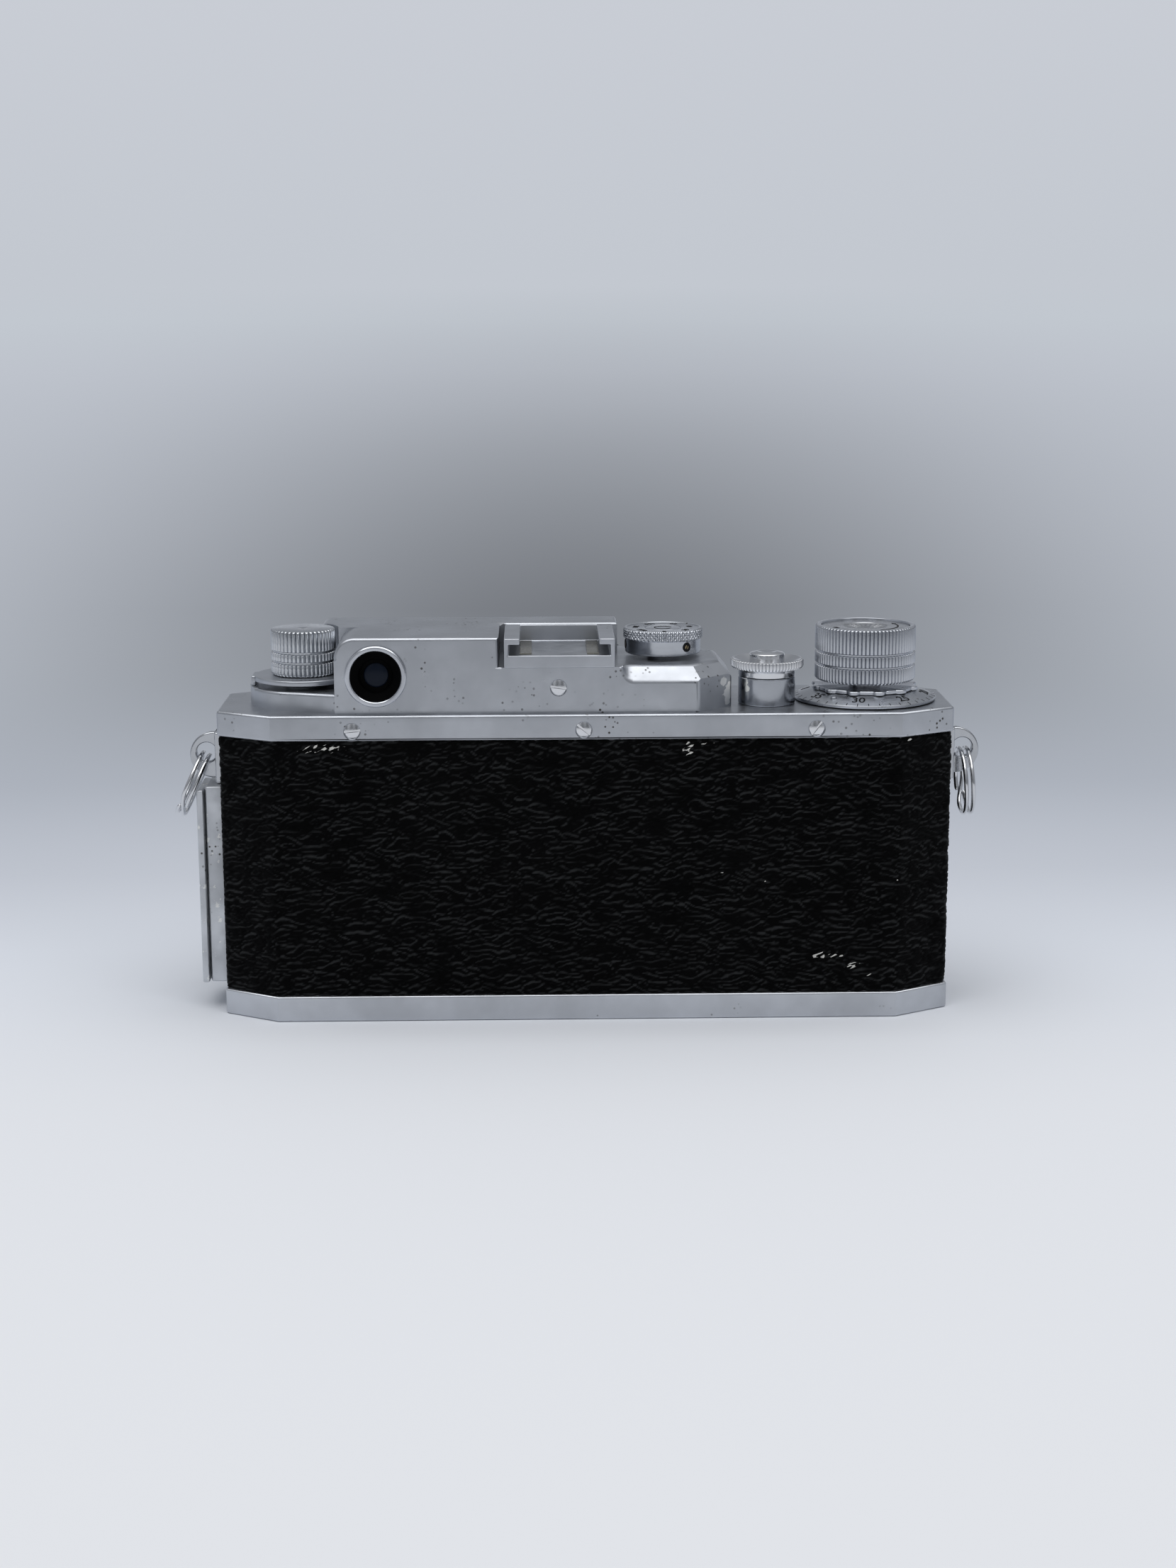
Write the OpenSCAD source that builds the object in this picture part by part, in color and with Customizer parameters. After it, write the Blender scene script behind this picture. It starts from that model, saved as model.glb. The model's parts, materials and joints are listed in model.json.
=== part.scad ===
// Rangefinder film camera for 35 mm cassettes, with a screw-in 50 mm lens.
// +X is the photographer's right, +Y is forward along the lens axis, +Z is up.
// The origin is the middle of the base plate's underside.

/* [Body] */
// Width across the two ends
body_w = 137.5; // [137:0.5:140]
// Depth over the covering, back to front
body_d = 31.2; // [31:0.1:32]
// Length of each corner cut along the width
corner_x = 10.5; // [9:0.5:11]
// Length of each corner cut along the depth
corner_y = 6; // [5:0.5:7]
// Height of the base plate's wall
base_h = 4.9; // [4.5:0.1:5.2]
// Height where the top plate's skirt begins
skirt_z = 53.7; // [53.4:0.1:54]
// Height of the top plate's upper face
deck_z = 58.5; // [58.3:0.1:58.7]

/* [Top housing] */
// Height of the housing's lower level, under the shoe and the speed dial
low_top = 67; // [66.8:0.1:67.1]
// Height of the housing's raised level
high_top = 72.6; // [72.2:0.1:73]
// Depth of the housing
housing_d = 27.6; // [27:0.2:28]
// Sideways place of the finder eyepiece
eye_x = -38.8; // [-39.2:0.1:-38.4]
// Height of the finder's optical axis
optic_z = 65.5; // [65.2:0.1:65.8]
// Sideways place of the rangefinder window
range_x = 1.2; // [0.8:0.1:1.6]

/* [Controls] */
// Sideways place of the rewind knob
rewind_x = -53.2; // [-53.6:0.1:-53]
// Radius of the rewind knob
rewind_r = 6.1; // [5.8:0.1:6.2]
// Sideways place of the advance knob
advance_x = 53.1; // [53:0.1:53.4]
// Radius of the advance knob
advance_r = 9.5; // [9:0.1:9.8]
// Radius of the frame counter dial
counter_r = 13.5; // [13:0.1:13.6]
// Sideways place of the shutter speed dial
dial_x = 14.7; // [14.4:0.1:15]
// Radius of the shutter speed dial's knurled rim
dial_r = 7.5; // [7:0.1:7.6]
// Sideways place of the shutter release
release_x = 34.1; // [33.8:0.1:34.2]
// Radius of the release tower
tower_r = 5.35; // [5:0.05:5.4]

/* [Lens] */
// Height of the lens axis
lens_z = 29; // [28.5:0.1:29.5]
// Inner radius of the lens flange's screw thread
mount_r = 19.5; // [19.5:0.1:19.5]
// Distance from the lens flange to the film
register = 28.8; // [28.8:0.1:28.8]
// Radius of the focusing ring
focus_r = 23.8; // [23:0.1:24]

/* [Hidden] */
$fn = 64;

// Radial room in a turning fit, and a gap between faces that only pass each other
fit = 0.05;
gap = 0.1;
over = 1;

half_w = body_w / 2;
half_d = body_d / 2;
corner_l = sqrt(corner_x * corner_x + corner_y * corner_y);
skin = 0.6;
wall = 1.6;
lip_in = skin + wall;
plate_t = 1.2;
lip_out = plate_t + 0.2;
cavity_top = deck_z - plate_t;
film_z = lens_z;
flange_y = half_d + 1.4;
film_y = flange_y - register;
gate_w = 36;
gate_h = 24;
house_h = housing_d / 2;
silver = "silver";
chrome = "gainsboro";
black = "#1c1c1c";
brass = "#b5a268";

// ---- Shared shapes ----

// Length of the corner cut once the outline is moved in by an inset
function cut_x(inset) = corner_x + inset * ((corner_l - corner_x) / corner_y - 1);
function cut_y(inset) = corner_y + inset * ((corner_l - corner_y) / corner_x - 1);

module octagon(inset) {
    x = half_w - inset;
    y = half_d - inset;
    cx = cut_x(inset);
    cy = cut_y(inset);
    polygon([[-x, -y + cy], [-x + cx, -y], [x - cx, -y], [x, -y + cy],
             [x, y - cy], [x - cx, y], [-x + cx, y], [-x, y - cy]]);
}

// Octagonal prism between two heights
module slab(inset, z0, z1) {
    translate([0, 0, z0]) linear_extrude(z1 - z0) octagon(inset);
}

// Upright cylinder between two heights
module post(x, y, r, z0, z1) {
    translate([x, y, z0]) cylinder(h = z1 - z0, r = r);
}

// Upright tube between two heights
module tube(x, y, r_out, r_in, z0, z1) {
    difference() {
        post(x, y, r_out, z0, z1);
        post(x, y, r_in, z0 - over, z1 + over);
    }
}

// Cylinder along Y between two depths
module bar(x, z, r, y0, y1) {
    translate([x, y0, z]) rotate([-90, 0, 0]) cylinder(h = y1 - y0, r = r);
}

// Tube along Y between two depths
module sleeve(x, z, r_out, r_in, y0, y1) {
    difference() {
        bar(x, z, r_out, y0, y1);
        bar(x, z, r_in, y0 - over, y1 + over);
    }
}

// Box from a low corner to a high corner
module block(low, high) {
    translate(low) cube(high - low);
}

// Knob body with two turned grooves, standing at z0
module grooved_knob(x, r, z0, z1, groove_1, groove_2, depth) {
    groove_w = 0.35;
    difference() {
        post(x, 0, r, z0, z1);
        for (z = [groove_1, groove_2])
            tube(x, 0, r + over, r - depth, z - groove_w / 2, z + groove_w / 2);
    }
}

// Gear with straight-flanked teeth, one tooth centred on angle turn
gear_teeth = 20;
gear_module = 0.6;
gear_pitch_r = gear_teeth * gear_module / 2;
gear_z0 = 52.8;
gear_z1 = 54.2;
module gear(x, y, turn) {
    root_r = gear_pitch_r - 1.25 * gear_module;
    tip_r = gear_pitch_r + 0.8 * gear_module;
    step = 360 / gear_teeth;
    root_half = 0.31 * step;
    tip_half = 0.1 * step;
    points = [for (i = [0 : gear_teeth - 1]) for (corner = [0 : 3])
        let (r = (corner == 0 || corner == 3) ? root_r : tip_r,
             half = [-root_half, -tip_half, tip_half, root_half][corner],
             a = turn + i * step + half)
        [r * cos(a), r * sin(a)]];
    translate([x, y, gear_z0]) linear_extrude(gear_z1 - gear_z0) polygon(points);
}

// ---- Gear train from the advance knob to the sprocket ----
sprocket_x = 30;
sprocket_y = film_y + 6;
train_dx = sprocket_x - advance_x;
train_dy = sprocket_y;
train_l = sqrt(train_dx * train_dx + train_dy * train_dy);
train_side = sqrt(max(0, 4 * gear_pitch_r * gear_pitch_r - train_l * train_l / 4));
idler_x = advance_x + train_dx / 2 + train_side * train_dy / train_l;
idler_y = train_dy / 2 - train_side * train_dx / train_l;
tooth_step = 360 / gear_teeth;
to_idler = atan2(idler_y, idler_x - advance_x);
idler_turn = to_idler + 180 + tooth_step / 2;
to_sprocket = atan2(sprocket_y - idler_y, sprocket_x - idler_x);
sprocket_turn = to_sprocket + 180 + (to_sprocket - idler_turn) + tooth_step / 2;

// ---- Body ----

cassette_r = 13.1;
module body_casting() {
    boss_hole_r = 20.7;
    lip_h = 3.2;
    color("dimgray") difference() {
        union() {
            slab(skin, base_h, skirt_z);
            slab(lip_out, base_h - lip_h, skirt_z + lip_h);
        }
        slab(lip_in, -over, deck_z + over);
        bar(0, lens_z, boss_hole_r, 0, half_d + over);
        cover_screw_places() bar(0, 0, screw_shank_r + fit, -over, wall + 2);
        flange_screw_places() bar(0, 0, flange_shank_r + fit, -wall - skin - over, 0);
    }
    // Curved wall between the film cassette and the shutter
    color("dimgray") intersection() {
        tube(rewind_x, 0, cassette_r + 0.8, cassette_r, base_h, 50.5);
        block([rewind_x + 2, film_y + 1.4, 0], [rewind_x + 16, half_d - lip_in + gap, deck_z]);
    }
}

// The covering is one wrinkled skin round the back and ends, and one on the front
module covering(front) {
    seam_gap = 0.05;
    side = front ? 1 : -1;
    difference() {
        slab(0, base_h + seam_gap, skirt_z - seam_gap);
        slab(skin, 0, deck_z);
        translate([-body_w, side > 0 ? -body_d : 0, 0]) cube([2 * body_w, body_d, deck_z]);
    }
}

module rear_covering() {
    color(black) covering(false);
}

module front_covering() {
    color(black) difference() {
        covering(true);
        bar(0, lens_z, flange_r + fit, 0, body_d);
        bar(slow_x, slow_z, slow_boss_r + fit, 0, body_d);
    }
}

screw_head_r = 1.6;
screw_shank_r = 0.8;
screw_z = 55.6;
screw_xs = [-43.2, -0.6, 42.4];
head_t = 0.5;

// Places of the top plate's screws: children point along +Y, into the skirt
module cover_screw_places() {
    for (x = screw_xs, side = [0, 1])
        mirror([0, side, 0]) translate([x, -half_d, screw_z]) children();
}

module slotted_screw(length) {
    slot_w = 0.45;
    slot_t = 0.3;
    difference() {
        union() {
            bar(0, 0, screw_head_r - fit, 0, head_t);
            bar(0, 0, screw_shank_r, head_t - gap, length);
        }
        block([-screw_head_r, -over, -slot_w / 2], [screw_head_r, slot_t, slot_w / 2]);
    }
}

housing_screw_x = -5.2;
housing_screw_z = 63.2;
module cover_screws() {
    color(chrome) {
        cover_screw_places() slotted_screw(2);
        translate([housing_screw_x, -house_h, housing_screw_z]) slotted_screw(1.1);
    }
}

module top_plate() {
    color(silver) difference() {
        slab(0, skirt_z, deck_z);
        slab(plate_t, skirt_z - over, cavity_top);
        cover_screw_places() {
            bar(0, 0, screw_head_r, -over, head_t);
            bar(0, 0, screw_shank_r + fit, 0, plate_t + over);
        }
        post(rewind_x, 0, 3.1, skirt_z, deck_z + over);
        post(advance_x, 0, 3.1, skirt_z, deck_z + over);
        post(dial_x, 0, 3.1, skirt_z, deck_z + over);
        post(release_x, release_y, button_stem_r + gap, skirt_z, deck_z + over);
        post(arm_x, arm_y, 1.4, skirt_z, deck_z + over);
    }
}

// ---- Top housing ----

ledge_z = 62;
ledge_r = 10.1;
wall_left = -46.4;
front_left = -50.4;
shoe_left = -16.2;
raised_right = 6.2;
raised_y = 5;
facet = 2.6;
low_right = 20.7;
tip_right = 27.2;
tip_half_d = house_h - (tip_right - low_right);

// Outline of the rounded ledge under the rewind knob, joined to the housing
module ledge_plan() {
    start_x = -44;
    // The straight side meets the circle a hair inside a true tangent
    touch_r = ledge_r - 0.02;
    dx = rewind_x - start_x;
    reach = sqrt(dx * dx + house_h * house_h);
    heading = atan2(house_h, dx) + asin(touch_r / reach);
    run = sqrt(reach * reach - touch_r * touch_r);
    tx = start_x + run * cos(heading);
    ty = -house_h + run * sin(heading);
    translate([rewind_x, 0]) circle(r = ledge_r);
    polygon([[start_x, -house_h], [start_x, house_h], [tx, -ty], [rewind_x, 0], [tx, ty]]);
}

// Outline of the low end with its corners cut
module low_plan(left) {
    polygon([[left, -house_h], [low_right, -house_h], [tip_right, -tip_half_d],
             [tip_right, tip_half_d], [low_right, house_h], [left, house_h]]);
}

// Cutter for the 45 degree facet along one top edge, facing the angle turn
facet_z = low_top - facet;
module facet_cut(x, y, turn) {
    length = 20;
    translate([x, y, facet_z]) rotate([0, 0, turn]) rotate([0, -45, 0])
        translate([0, -length / 2, -length / 2]) cube(length);
}

// Cutter for the long facets: it ends in a round run-out near the shoe
module long_facet_cut() {
    run_x = 6.65;
    run_r = 1.9;
    length = 40;
    translate([0, -house_h, facet_z]) rotate([135, 0, 0]) linear_extrude(length, center = true) {
        translate([run_x, run_r]) square(length);
        translate([run_x + run_r, 0]) square(length);
        translate([run_x + run_r, run_r]) circle(r = run_r);
    }
}

// Upright wall block whose upper left edge is rounded, along Y
module rounded_block(left, right, top, r, y0, y1) {
    translate([0, y1, 0]) rotate([90, 0, 0]) linear_extrude(y1 - y0) {
        polygon([[left, deck_z], [right, deck_z], [right, top], [left + r, top], [left + r, top - r],
                 [left, top - r]]);
        translate([left + r, top - r]) circle(r = r);
    }
}

module housing_outside() {
    corner_mid_x = (low_right + tip_right) / 2;
    corner_mid_y = (house_h + tip_half_d) / 2;
    translate([0, 0, deck_z]) linear_extrude(ledge_z - deck_z) ledge_plan();
    difference() {
        translate([0, 0, deck_z]) linear_extrude(low_top - deck_z) low_plan(-44.2);
        facet_cut(tip_right, 0, 0);
        for (side = [0, 1]) mirror([0, side, 0]) {
            facet_cut(corner_mid_x, -corner_mid_y, -45);
            long_facet_cut();
        }
    }
    rounded_block(wall_left, shoe_left, high_top, 3.7, -house_h, 1);
    rounded_block(front_left, raised_right, high_top, 1.5, raised_y, house_h);
    rounded_block(front_left, shoe_left, high_top, 1.5, 0, raised_y + over);
}

module top_housing() {
    knob_room = 0.6;
    low_inside = low_top - plate_t;
    high_inside = high_top - plate_t - 0.2;
    inside = house_h - plate_t;
    color(silver) difference() {
        housing_outside();
        post(rewind_x, 0, rewind_r + knob_room, ledge_z, high_top + over);
        post(rewind_x, 0, lever_r + 0.2, lever_z0 - gap, lever_z1 + gap);
        post(rewind_x, 0, 3.1, deck_z - over, ledge_z + over);
        block([rewind_x - 6, -6, deck_z - over], [wall_left + over, 6, ledge_z - plate_t]);
        block([-44.4, -inside, deck_z - over], [5, inside, low_inside]);
        block([4.9, -inside + 2, deck_z - over], [20.4, inside - 2, low_inside - 0.4]);
        block([-44.1, -inside, deck_z - over], [shoe_left - plate_t, inside, high_inside]);
        block([shoe_left - 2, raised_y + plate_t, deck_z - over], [5, inside, high_inside]);
        post(dial_x, 0, 3.1, deck_z, low_top + over);
        bar(eye_x, optic_z, eye_tube_r, -house_h - over, 0);
        finder_opening(0);
        bar(range_x, optic_z, range_r, 0, house_h + over);
        translate([housing_screw_x, -house_h, housing_screw_z]) {
            bar(0, 0, screw_head_r, -over, head_t);
            bar(0, 0, screw_shank_r + fit, 0, plate_t + over);
        }
    }
}

eye_tube_r = 5;
eye_rim_r = 5.7;
module eyepiece_bezel() {
    color(chrome) difference() {
        union() {
            bar(eye_x, optic_z, eye_rim_r, -house_h - 0.7, -house_h);
            bar(eye_x, optic_z, eye_tube_r - fit, -house_h - gap, -house_h + 3.4);
        }
        bar(eye_x, optic_z, 4.4, -house_h - over, -house_h + 4);
    }
}

module eyepiece_lens() {
    color([0.6, 0.65, 0.75, 0.4]) bar(eye_x, optic_z, 4.35, -house_h + 2, -house_h + 3.2);
}

finder_w = 13;
finder_h = 9;
module finder_opening(extra) {
    block([eye_x - finder_w / 2 - extra, house_h - 3, optic_z - finder_h / 2 - extra],
          [eye_x + finder_w / 2 + extra, house_h + over, optic_z + finder_h / 2 + extra]);
}

module finder_window() {
    room = 0.05;
    color([0.6, 0.65, 0.75, 0.4])
        block([eye_x - finder_w / 2 + room, house_h - 0.9, optic_z - finder_h / 2 + room],
              [eye_x + finder_w / 2 - room, house_h - 0.2, optic_z + finder_h / 2 - room]);
}

range_r = 3.3;
module rangefinder_window() {
    color([0.6, 0.65, 0.75, 0.4]) bar(range_x, optic_z, range_r - fit, house_h - 0.9, house_h - 0.2);
}

module beam_splitter() {
    size = 7;
    color([0.8, 0.75, 0.5, 0.5]) translate([eye_x, 7.6, optic_z]) rotate([0, 0, 45])
        cube([size, 0.8, size], center = true);
}

module rangefinder_prism() {
    leg = 5;
    color([0.7, 0.75, 0.8, 0.5]) translate([range_x - leg / 2, 7, optic_z - leg / 2])
        linear_extrude(leg) polygon([[0, leg], [leg, leg], [0, 0]]);
}

// ---- Accessory shoe: inner channel 18.8 mm wide, for a standard foot ----

shoe_x = -5;
shoe_w = 20.4;
shoe_inner = 18.8;
shoe_y0 = -14.5;
shoe_y1 = 4.6;
shoe_floor = 69.3;
shoe_top = 72.4;
shoe_lip_w = 2.1;
shoe_lip_t = 1.1;
module accessory_shoe() {
    half_out = shoe_w / 2;
    half_in = shoe_inner / 2;
    color(silver) {
        block([shoe_x - half_out, shoe_y0, low_top], [shoe_x + half_out, shoe_y1, shoe_floor]);
        for (side = [0, 1]) translate([shoe_x, 0, 0]) mirror([side, 0, 0]) {
            block([half_in, shoe_y0, low_top], [half_out, shoe_y1, shoe_top]);
            block([half_in - shoe_lip_w, shoe_y0, shoe_top - shoe_lip_t], [half_out, shoe_y1, shoe_top]);
        }
        block([shoe_x - half_out, shoe_y1 - 0.9, low_top], [shoe_x + half_out, shoe_y1, shoe_top]);
    }
}

module shoe_springs() {
    spring_w = 2.2;
    spring_t = 0.45;
    color(chrome) for (side = [0, 1]) translate([shoe_x, 0, 0]) mirror([side, 0, 0])
        block([5.1, shoe_y0 + 1.6, shoe_floor], [5.1 + spring_w, shoe_y1 - 2, shoe_floor + spring_t]);
}

// ---- Inner works ----

plate_z0 = 51.4;
plate_z1 = 52.6;
module mechanism_plate() {
    color(brass) difference() {
        union() {
            slab(lip_in + gap, plate_z0, plate_z1);
            post(idler_x, idler_y, 1.2, plate_z1 - gap, gear_z1 + 0.6);
        }
        post(rewind_x, 0, 3.05, 0, deck_z);
        post(advance_x, 0, 3.05, 0, deck_z);
        post(sprocket_x, sprocket_y, 1.55, 0, deck_z);
        post(arm_x, arm_y, 1.4, 0, deck_z);
    }
}

crate_z0 = 6.5;
crate_z1 = 50.9;
crate_front = 8.2;
crate_left = -36;
crate_right = 22.6;
drum_x = 27;
drum_y = 3.6;
drum_r = 2.9;
roller_x = -28;
roller_y = 2;
roller_r = 3.5;
pivot_r = 0.8;
module crate_end(z) {
    crate_back = film_y + 1.2;
    difference() {
        union() {
            block([crate_left, crate_back, z], [crate_right, crate_front, z + 1]);
            block([crate_left, drum_y - 3, z], [drum_x + 4, crate_front, z + 1]);
        }
        post(drum_x, drum_y, pivot_r + fit, 0, deck_z);
        post(roller_x, roller_y, pivot_r + fit, 0, deck_z);
    }
}

module shutter_crate() {
    color("#30302f") {
        crate_end(crate_z0);
        crate_end(crate_z1 - 1);
        difference() {
            block([crate_left, crate_front - 1.2, crate_z0], [drum_x + 4, crate_front, crate_z1]);
            bar(0, lens_z, 18.5, 0, half_d);
        }
        block([crate_left, film_y + 1.2, crate_z0], [crate_left + 1.2, crate_front, crate_z1]);
    }
}

module film_gate() {
    rail_h = 2;
    color("#30302f") difference() {
        block([-21.5, film_y + 0.2, crate_z0 + 1.1], [21.5, film_y + 1.1, crate_z1 - 1.1]);
        block([-gate_w / 2, film_y - 2, film_z - gate_h / 2], [gate_w / 2, film_y + 3, film_z + gate_h / 2]);
    }
    color(chrome) for (side = [-1, 1])
        translate([0, film_y, film_z + side * (gate_h / 2 + 2)])
            block([-21.5, 0, -rail_h / 2], [21.5, 0.2, rail_h / 2]);
}

// Each curtain crosses behind the lens, then turns forward to its drum or roller
curtain_y = -8.8;
curtain_t = 0.3;
curtain_half_h = 15;
module curtain(x_free, x_bend, x_end, y_end, y) {
    t = x_bend > x_free ? curtain_t : -curtain_t;
    translate([0, 0, film_z - curtain_half_h]) linear_extrude(2 * curtain_half_h)
        polygon([[x_free, y], [x_bend, y], [x_end, y_end], [x_end - t, y_end],
                 [x_bend - t, y + curtain_t], [x_free, y + curtain_t]]);
}

module opening_curtain() {
    color(black) curtain(-20, 21.8, drum_x - drum_r - gap, drum_y, curtain_y);
}

module closing_curtain() {
    color(black) curtain(-16, -32.8, roller_x - roller_r - gap - curtain_t, roller_y, curtain_y + 0.5);
}

module pressure_plate() {
    color("#30302f") difference() {
        block([-24, film_y - 1, film_z - 18], [24, film_y - 0.2, film_z + 18]);
        for (x = [-12, 12]) bar(x, film_z, 1.5, film_y - 2, film_y - 0.6);
    }
}

module shutter_drum() {
    color(brass) {
        post(drum_x, drum_y, drum_r, crate_z0 + 1.3, crate_z1 - 1.3);
        post(drum_x, drum_y, pivot_r, crate_z0, crate_z1);
    }
}

module spring_roller() {
    color(brass) {
        post(roller_x, roller_y, roller_r, crate_z0 + 1.3, crate_z1 - 1.3);
        post(roller_x, roller_y, pivot_r, crate_z0, crate_z1);
    }
}

// ---- Lens flange, lugs and flash rail ----

flange_r = 23.2;
flange_shank_r = 0.6;
flange_head_r = 1;
flange_screw_ring = 21.85;
module flange_screw_places() {
    for (a = [45 : 90 : 315])
        translate([flange_screw_ring * cos(a), flange_y, lens_z + flange_screw_ring * sin(a)]) children();
}

module lens_flange() {
    boss_r = 20.6;
    color(chrome) difference() {
        union() {
            bar(0, lens_z, flange_r, half_d - skin, flange_y);
            bar(0, lens_z, boss_r, half_d - 4.1, half_d);
        }
        bar(0, lens_z, mount_r, 0, half_d + 5);
        flange_screw_places() {
            bar(0, 0, flange_head_r, -0.6, over);
            bar(0, 0, flange_shank_r + fit, -4, over);
        }
    }
}

module flange_screws() {
    slot_w = 0.35;
    color(chrome) flange_screw_places() difference() {
        union() {
            bar(0, 0, flange_head_r - fit, -0.6, 0);
            bar(0, 0, flange_shank_r, -3, -0.5);
        }
        block([-2, -0.3, -slot_w / 2], [2, over, slot_w / 2]);
    }
}

lug_x = 70.75;
lug_z = 48.5;
lug_hole_x = 72;
lug_hole_z = 49;
lug_hole_r = 1.9;
lug_t = 2;
module strap_lug() {
    ear_r = 4.4;
    pad_half = 3.2;
    pad_t = 1.4;
    color(chrome) difference() {
        union() {
            bar(lug_x, lug_z, ear_r, -lug_t / 2, lug_t / 2);
            block([half_w, -pad_half, 43.4], [half_w + pad_t, pad_half, 53.2]);
        }
        bar(lug_hole_x, lug_hole_z, lug_hole_r, -half_d, half_d);
        block([0, -half_d, 0], [half_w, half_d, deck_z]);
    }
}

module strap_lug_right() {
    strap_lug();
}

module strap_lug_left() {
    mirror([1, 0, 0]) strap_lug();
}

rail_z0 = 5.1;
rail_z1 = 42.7;
rail_face = 73.5;
rail_inner = 71.9;
module flash_rail() {
    plate_half = 6.2;
    plate_thick = 1.3;
    core_half = 3.6;
    block_half = 5.6;
    color(silver) difference() {
        union() {
            block([-rail_face, -plate_half, rail_z0], [-rail_face + plate_thick, plate_half, rail_z1]);
            block([-rail_face + 1, -core_half, rail_z0], [-rail_inner, core_half, rail_z1]);
            block([-rail_inner, -block_half, rail_z0], [-half_w, block_half, rail_z1 + 0.6]);
        }
        contact_places() translate([-rail_face - over, 0, 0]) rotate([0, 90, 0]) cylinder(h = 2, r = 2);
    }
}

module contact_places() {
    for (z = [15, 23]) translate([0, 0, z]) children();
}

module flash_contacts() {
    contact_places() translate([-rail_face, 0, 0]) rotate([0, 90, 0]) {
        color(black) difference() {
            cylinder(h = 0.95, r = 1.95);
            translate([0, 0, -over]) cylinder(h = 5, r = 0.8);
        }
        color(chrome) cylinder(h = 0.9, r = 0.75);
    }
}

// Split ring of two spread coils, in the YZ plane, hung from its top
ring_r = 6.25;
wire_r = 0.42;
coil_half = 0.66;
module split_ring() {
    translate([0, 0, -ring_r]) rotate([0, 90, 0]) rotate_extrude() translate([ring_r, 0]) {
        for (side = [-1, 1]) translate([0, side * coil_half]) circle(r = wire_r, $fn = 24);
        square([0.3, 2 * coil_half], center = true);
    }
}

ring_right_x = 72.3;
ring_right_z = 48.6;
ring_right_lean = -4;
module split_ring_right() {
    color(chrome) translate([ring_right_x, 0, ring_right_z]) rotate([0, ring_right_lean, 0]) split_ring();
}

ring_left_x = -72.2;
ring_left_z = 48.5;
ring_left_lean = 24;
module split_ring_left() {
    color(chrome) translate([ring_left_x, 0, ring_left_z]) rotate([0, ring_left_lean, 0]) split_ring();
}

// ---- Rewind knob and finder lever ----

knob_z = 64;
rewind_top = 72.6;
module rewind_knob() {
    color(silver) difference() {
        grooved_knob(rewind_x, rewind_r, knob_z, rewind_top, 68.1, 66.6, 0.3);
        post(rewind_x, 0, 2.42, knob_z - over, 70.5);
    }
}

module rewind_shaft() {
    color(chrome) {
        post(rewind_x, 0, 3, 46, knob_z);
        post(rewind_x, 0, 2.4, knob_z - gap, 70);
        block([rewind_x - 2.6, -0.5, 42], [rewind_x + 2.6, 0.5, 46.1]);
    }
}

lever_r = 9.4;
lever_z0 = 62.9;
lever_z1 = 63.9;
module finder_lever() {
    tab_half = 2.6;
    tab_t = 0.9;
    color(silver) difference() {
        union() {
            post(rewind_x, 0, lever_r, lever_z0, lever_z1);
            block([rewind_x - lever_r - 0.3, -tab_half, ledge_z + gap],
                  [rewind_x - lever_r - 0.3 + tab_t, tab_half, lever_z1]);
            post(rewind_x, 0, 3.8, ledge_z + gap, lever_z1);
        }
        post(rewind_x, 0, 3.1, 0, high_top);
    }
}

turret_y = -2.5;
module finder_turret() {
    color(black) difference() {
        post(eye_x, turret_y, 4.6, deck_z + gap, 70.6);
        for (a = [0, 60, 120]) translate([eye_x, turret_y, optic_z]) rotate([90, 0, a])
            cylinder(h = 12, r = 2 + a / 120, center = true);
    }
}

// ---- Shutter speed dial ----

dial_z0 = 67.7;
dial_top = 72.4;
dial_rim_z = 71.3;
dial_body_r = 7.2;
spindle_r = 3;
module speed_spindle() {
    color(chrome) post(dial_x, 0, spindle_r, 54.4, 70.2);
}

module dial_screw_places() {
    screw_angles = [-54.3, 65.7, 185.7];
    for (a = screw_angles)
        translate([dial_x, 0, 69.6]) rotate([0, 0, a]) rotate([0, 90, 0]) children();
}

module speed_dial() {
    color(silver) difference() {
        union() {
            post(dial_x, 0, dial_body_r, dial_z0, dial_rim_z);
            post(dial_x, 0, dial_r, dial_rim_z, dial_top);
        }
        post(dial_x, 0, spindle_r + fit, 0, 70.5);
        dial_screw_places() cylinder(h = 10, r = 0.8);
    }
}

module speed_dial_screws() {
    color(brass) dial_screw_places() translate([0, 0, dial_body_r - 2.2]) cylinder(h = 2.1, r = 0.75);
}

// ---- Shutter release ----

release_y = -4;
tower_top = 63.7;
button_r = 3.3;
button_stem_r = 1.2;
button_neck_z = 62.6;
module release_tower() {
    color(chrome) tube(release_x, release_y, tower_r, button_r + fit, deck_z, tower_top);
}

module release_collar() {
    rim_r = 6.85;
    dish_r = 6.3;
    neck_top = 64.9;
    rim_z = 65.5;
    collar_top = 67;
    bore = button_r + fit;
    floor_z = collar_top - 1;
    color(chrome) translate([release_x, release_y, 0]) rotate_extrude()
        polygon([[bore, tower_top + gap], [tower_r, tower_top + gap], [tower_r, neck_top], [rim_r, rim_z],
                 [rim_r, collar_top], [dish_r, collar_top], [bore + 0.5, floor_z], [bore, floor_z]]);
}

module release_button() {
    top = 68.3;
    crown = 0.8;
    color(chrome) translate([release_x, release_y, 0]) rotate_extrude()
        polygon([[0, 56.2], [button_stem_r, 56.2], [button_stem_r, button_neck_z],
                 [button_r, button_neck_z], [button_r, top - crown],
                 [button_r - 0.5, top - 0.2], [0, top]]);
}

module release_spring() {
    color("gray") tube(release_x, release_y, 2.4, 1.5, deck_z, button_neck_z);
}

// ---- Film advance ----

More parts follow.
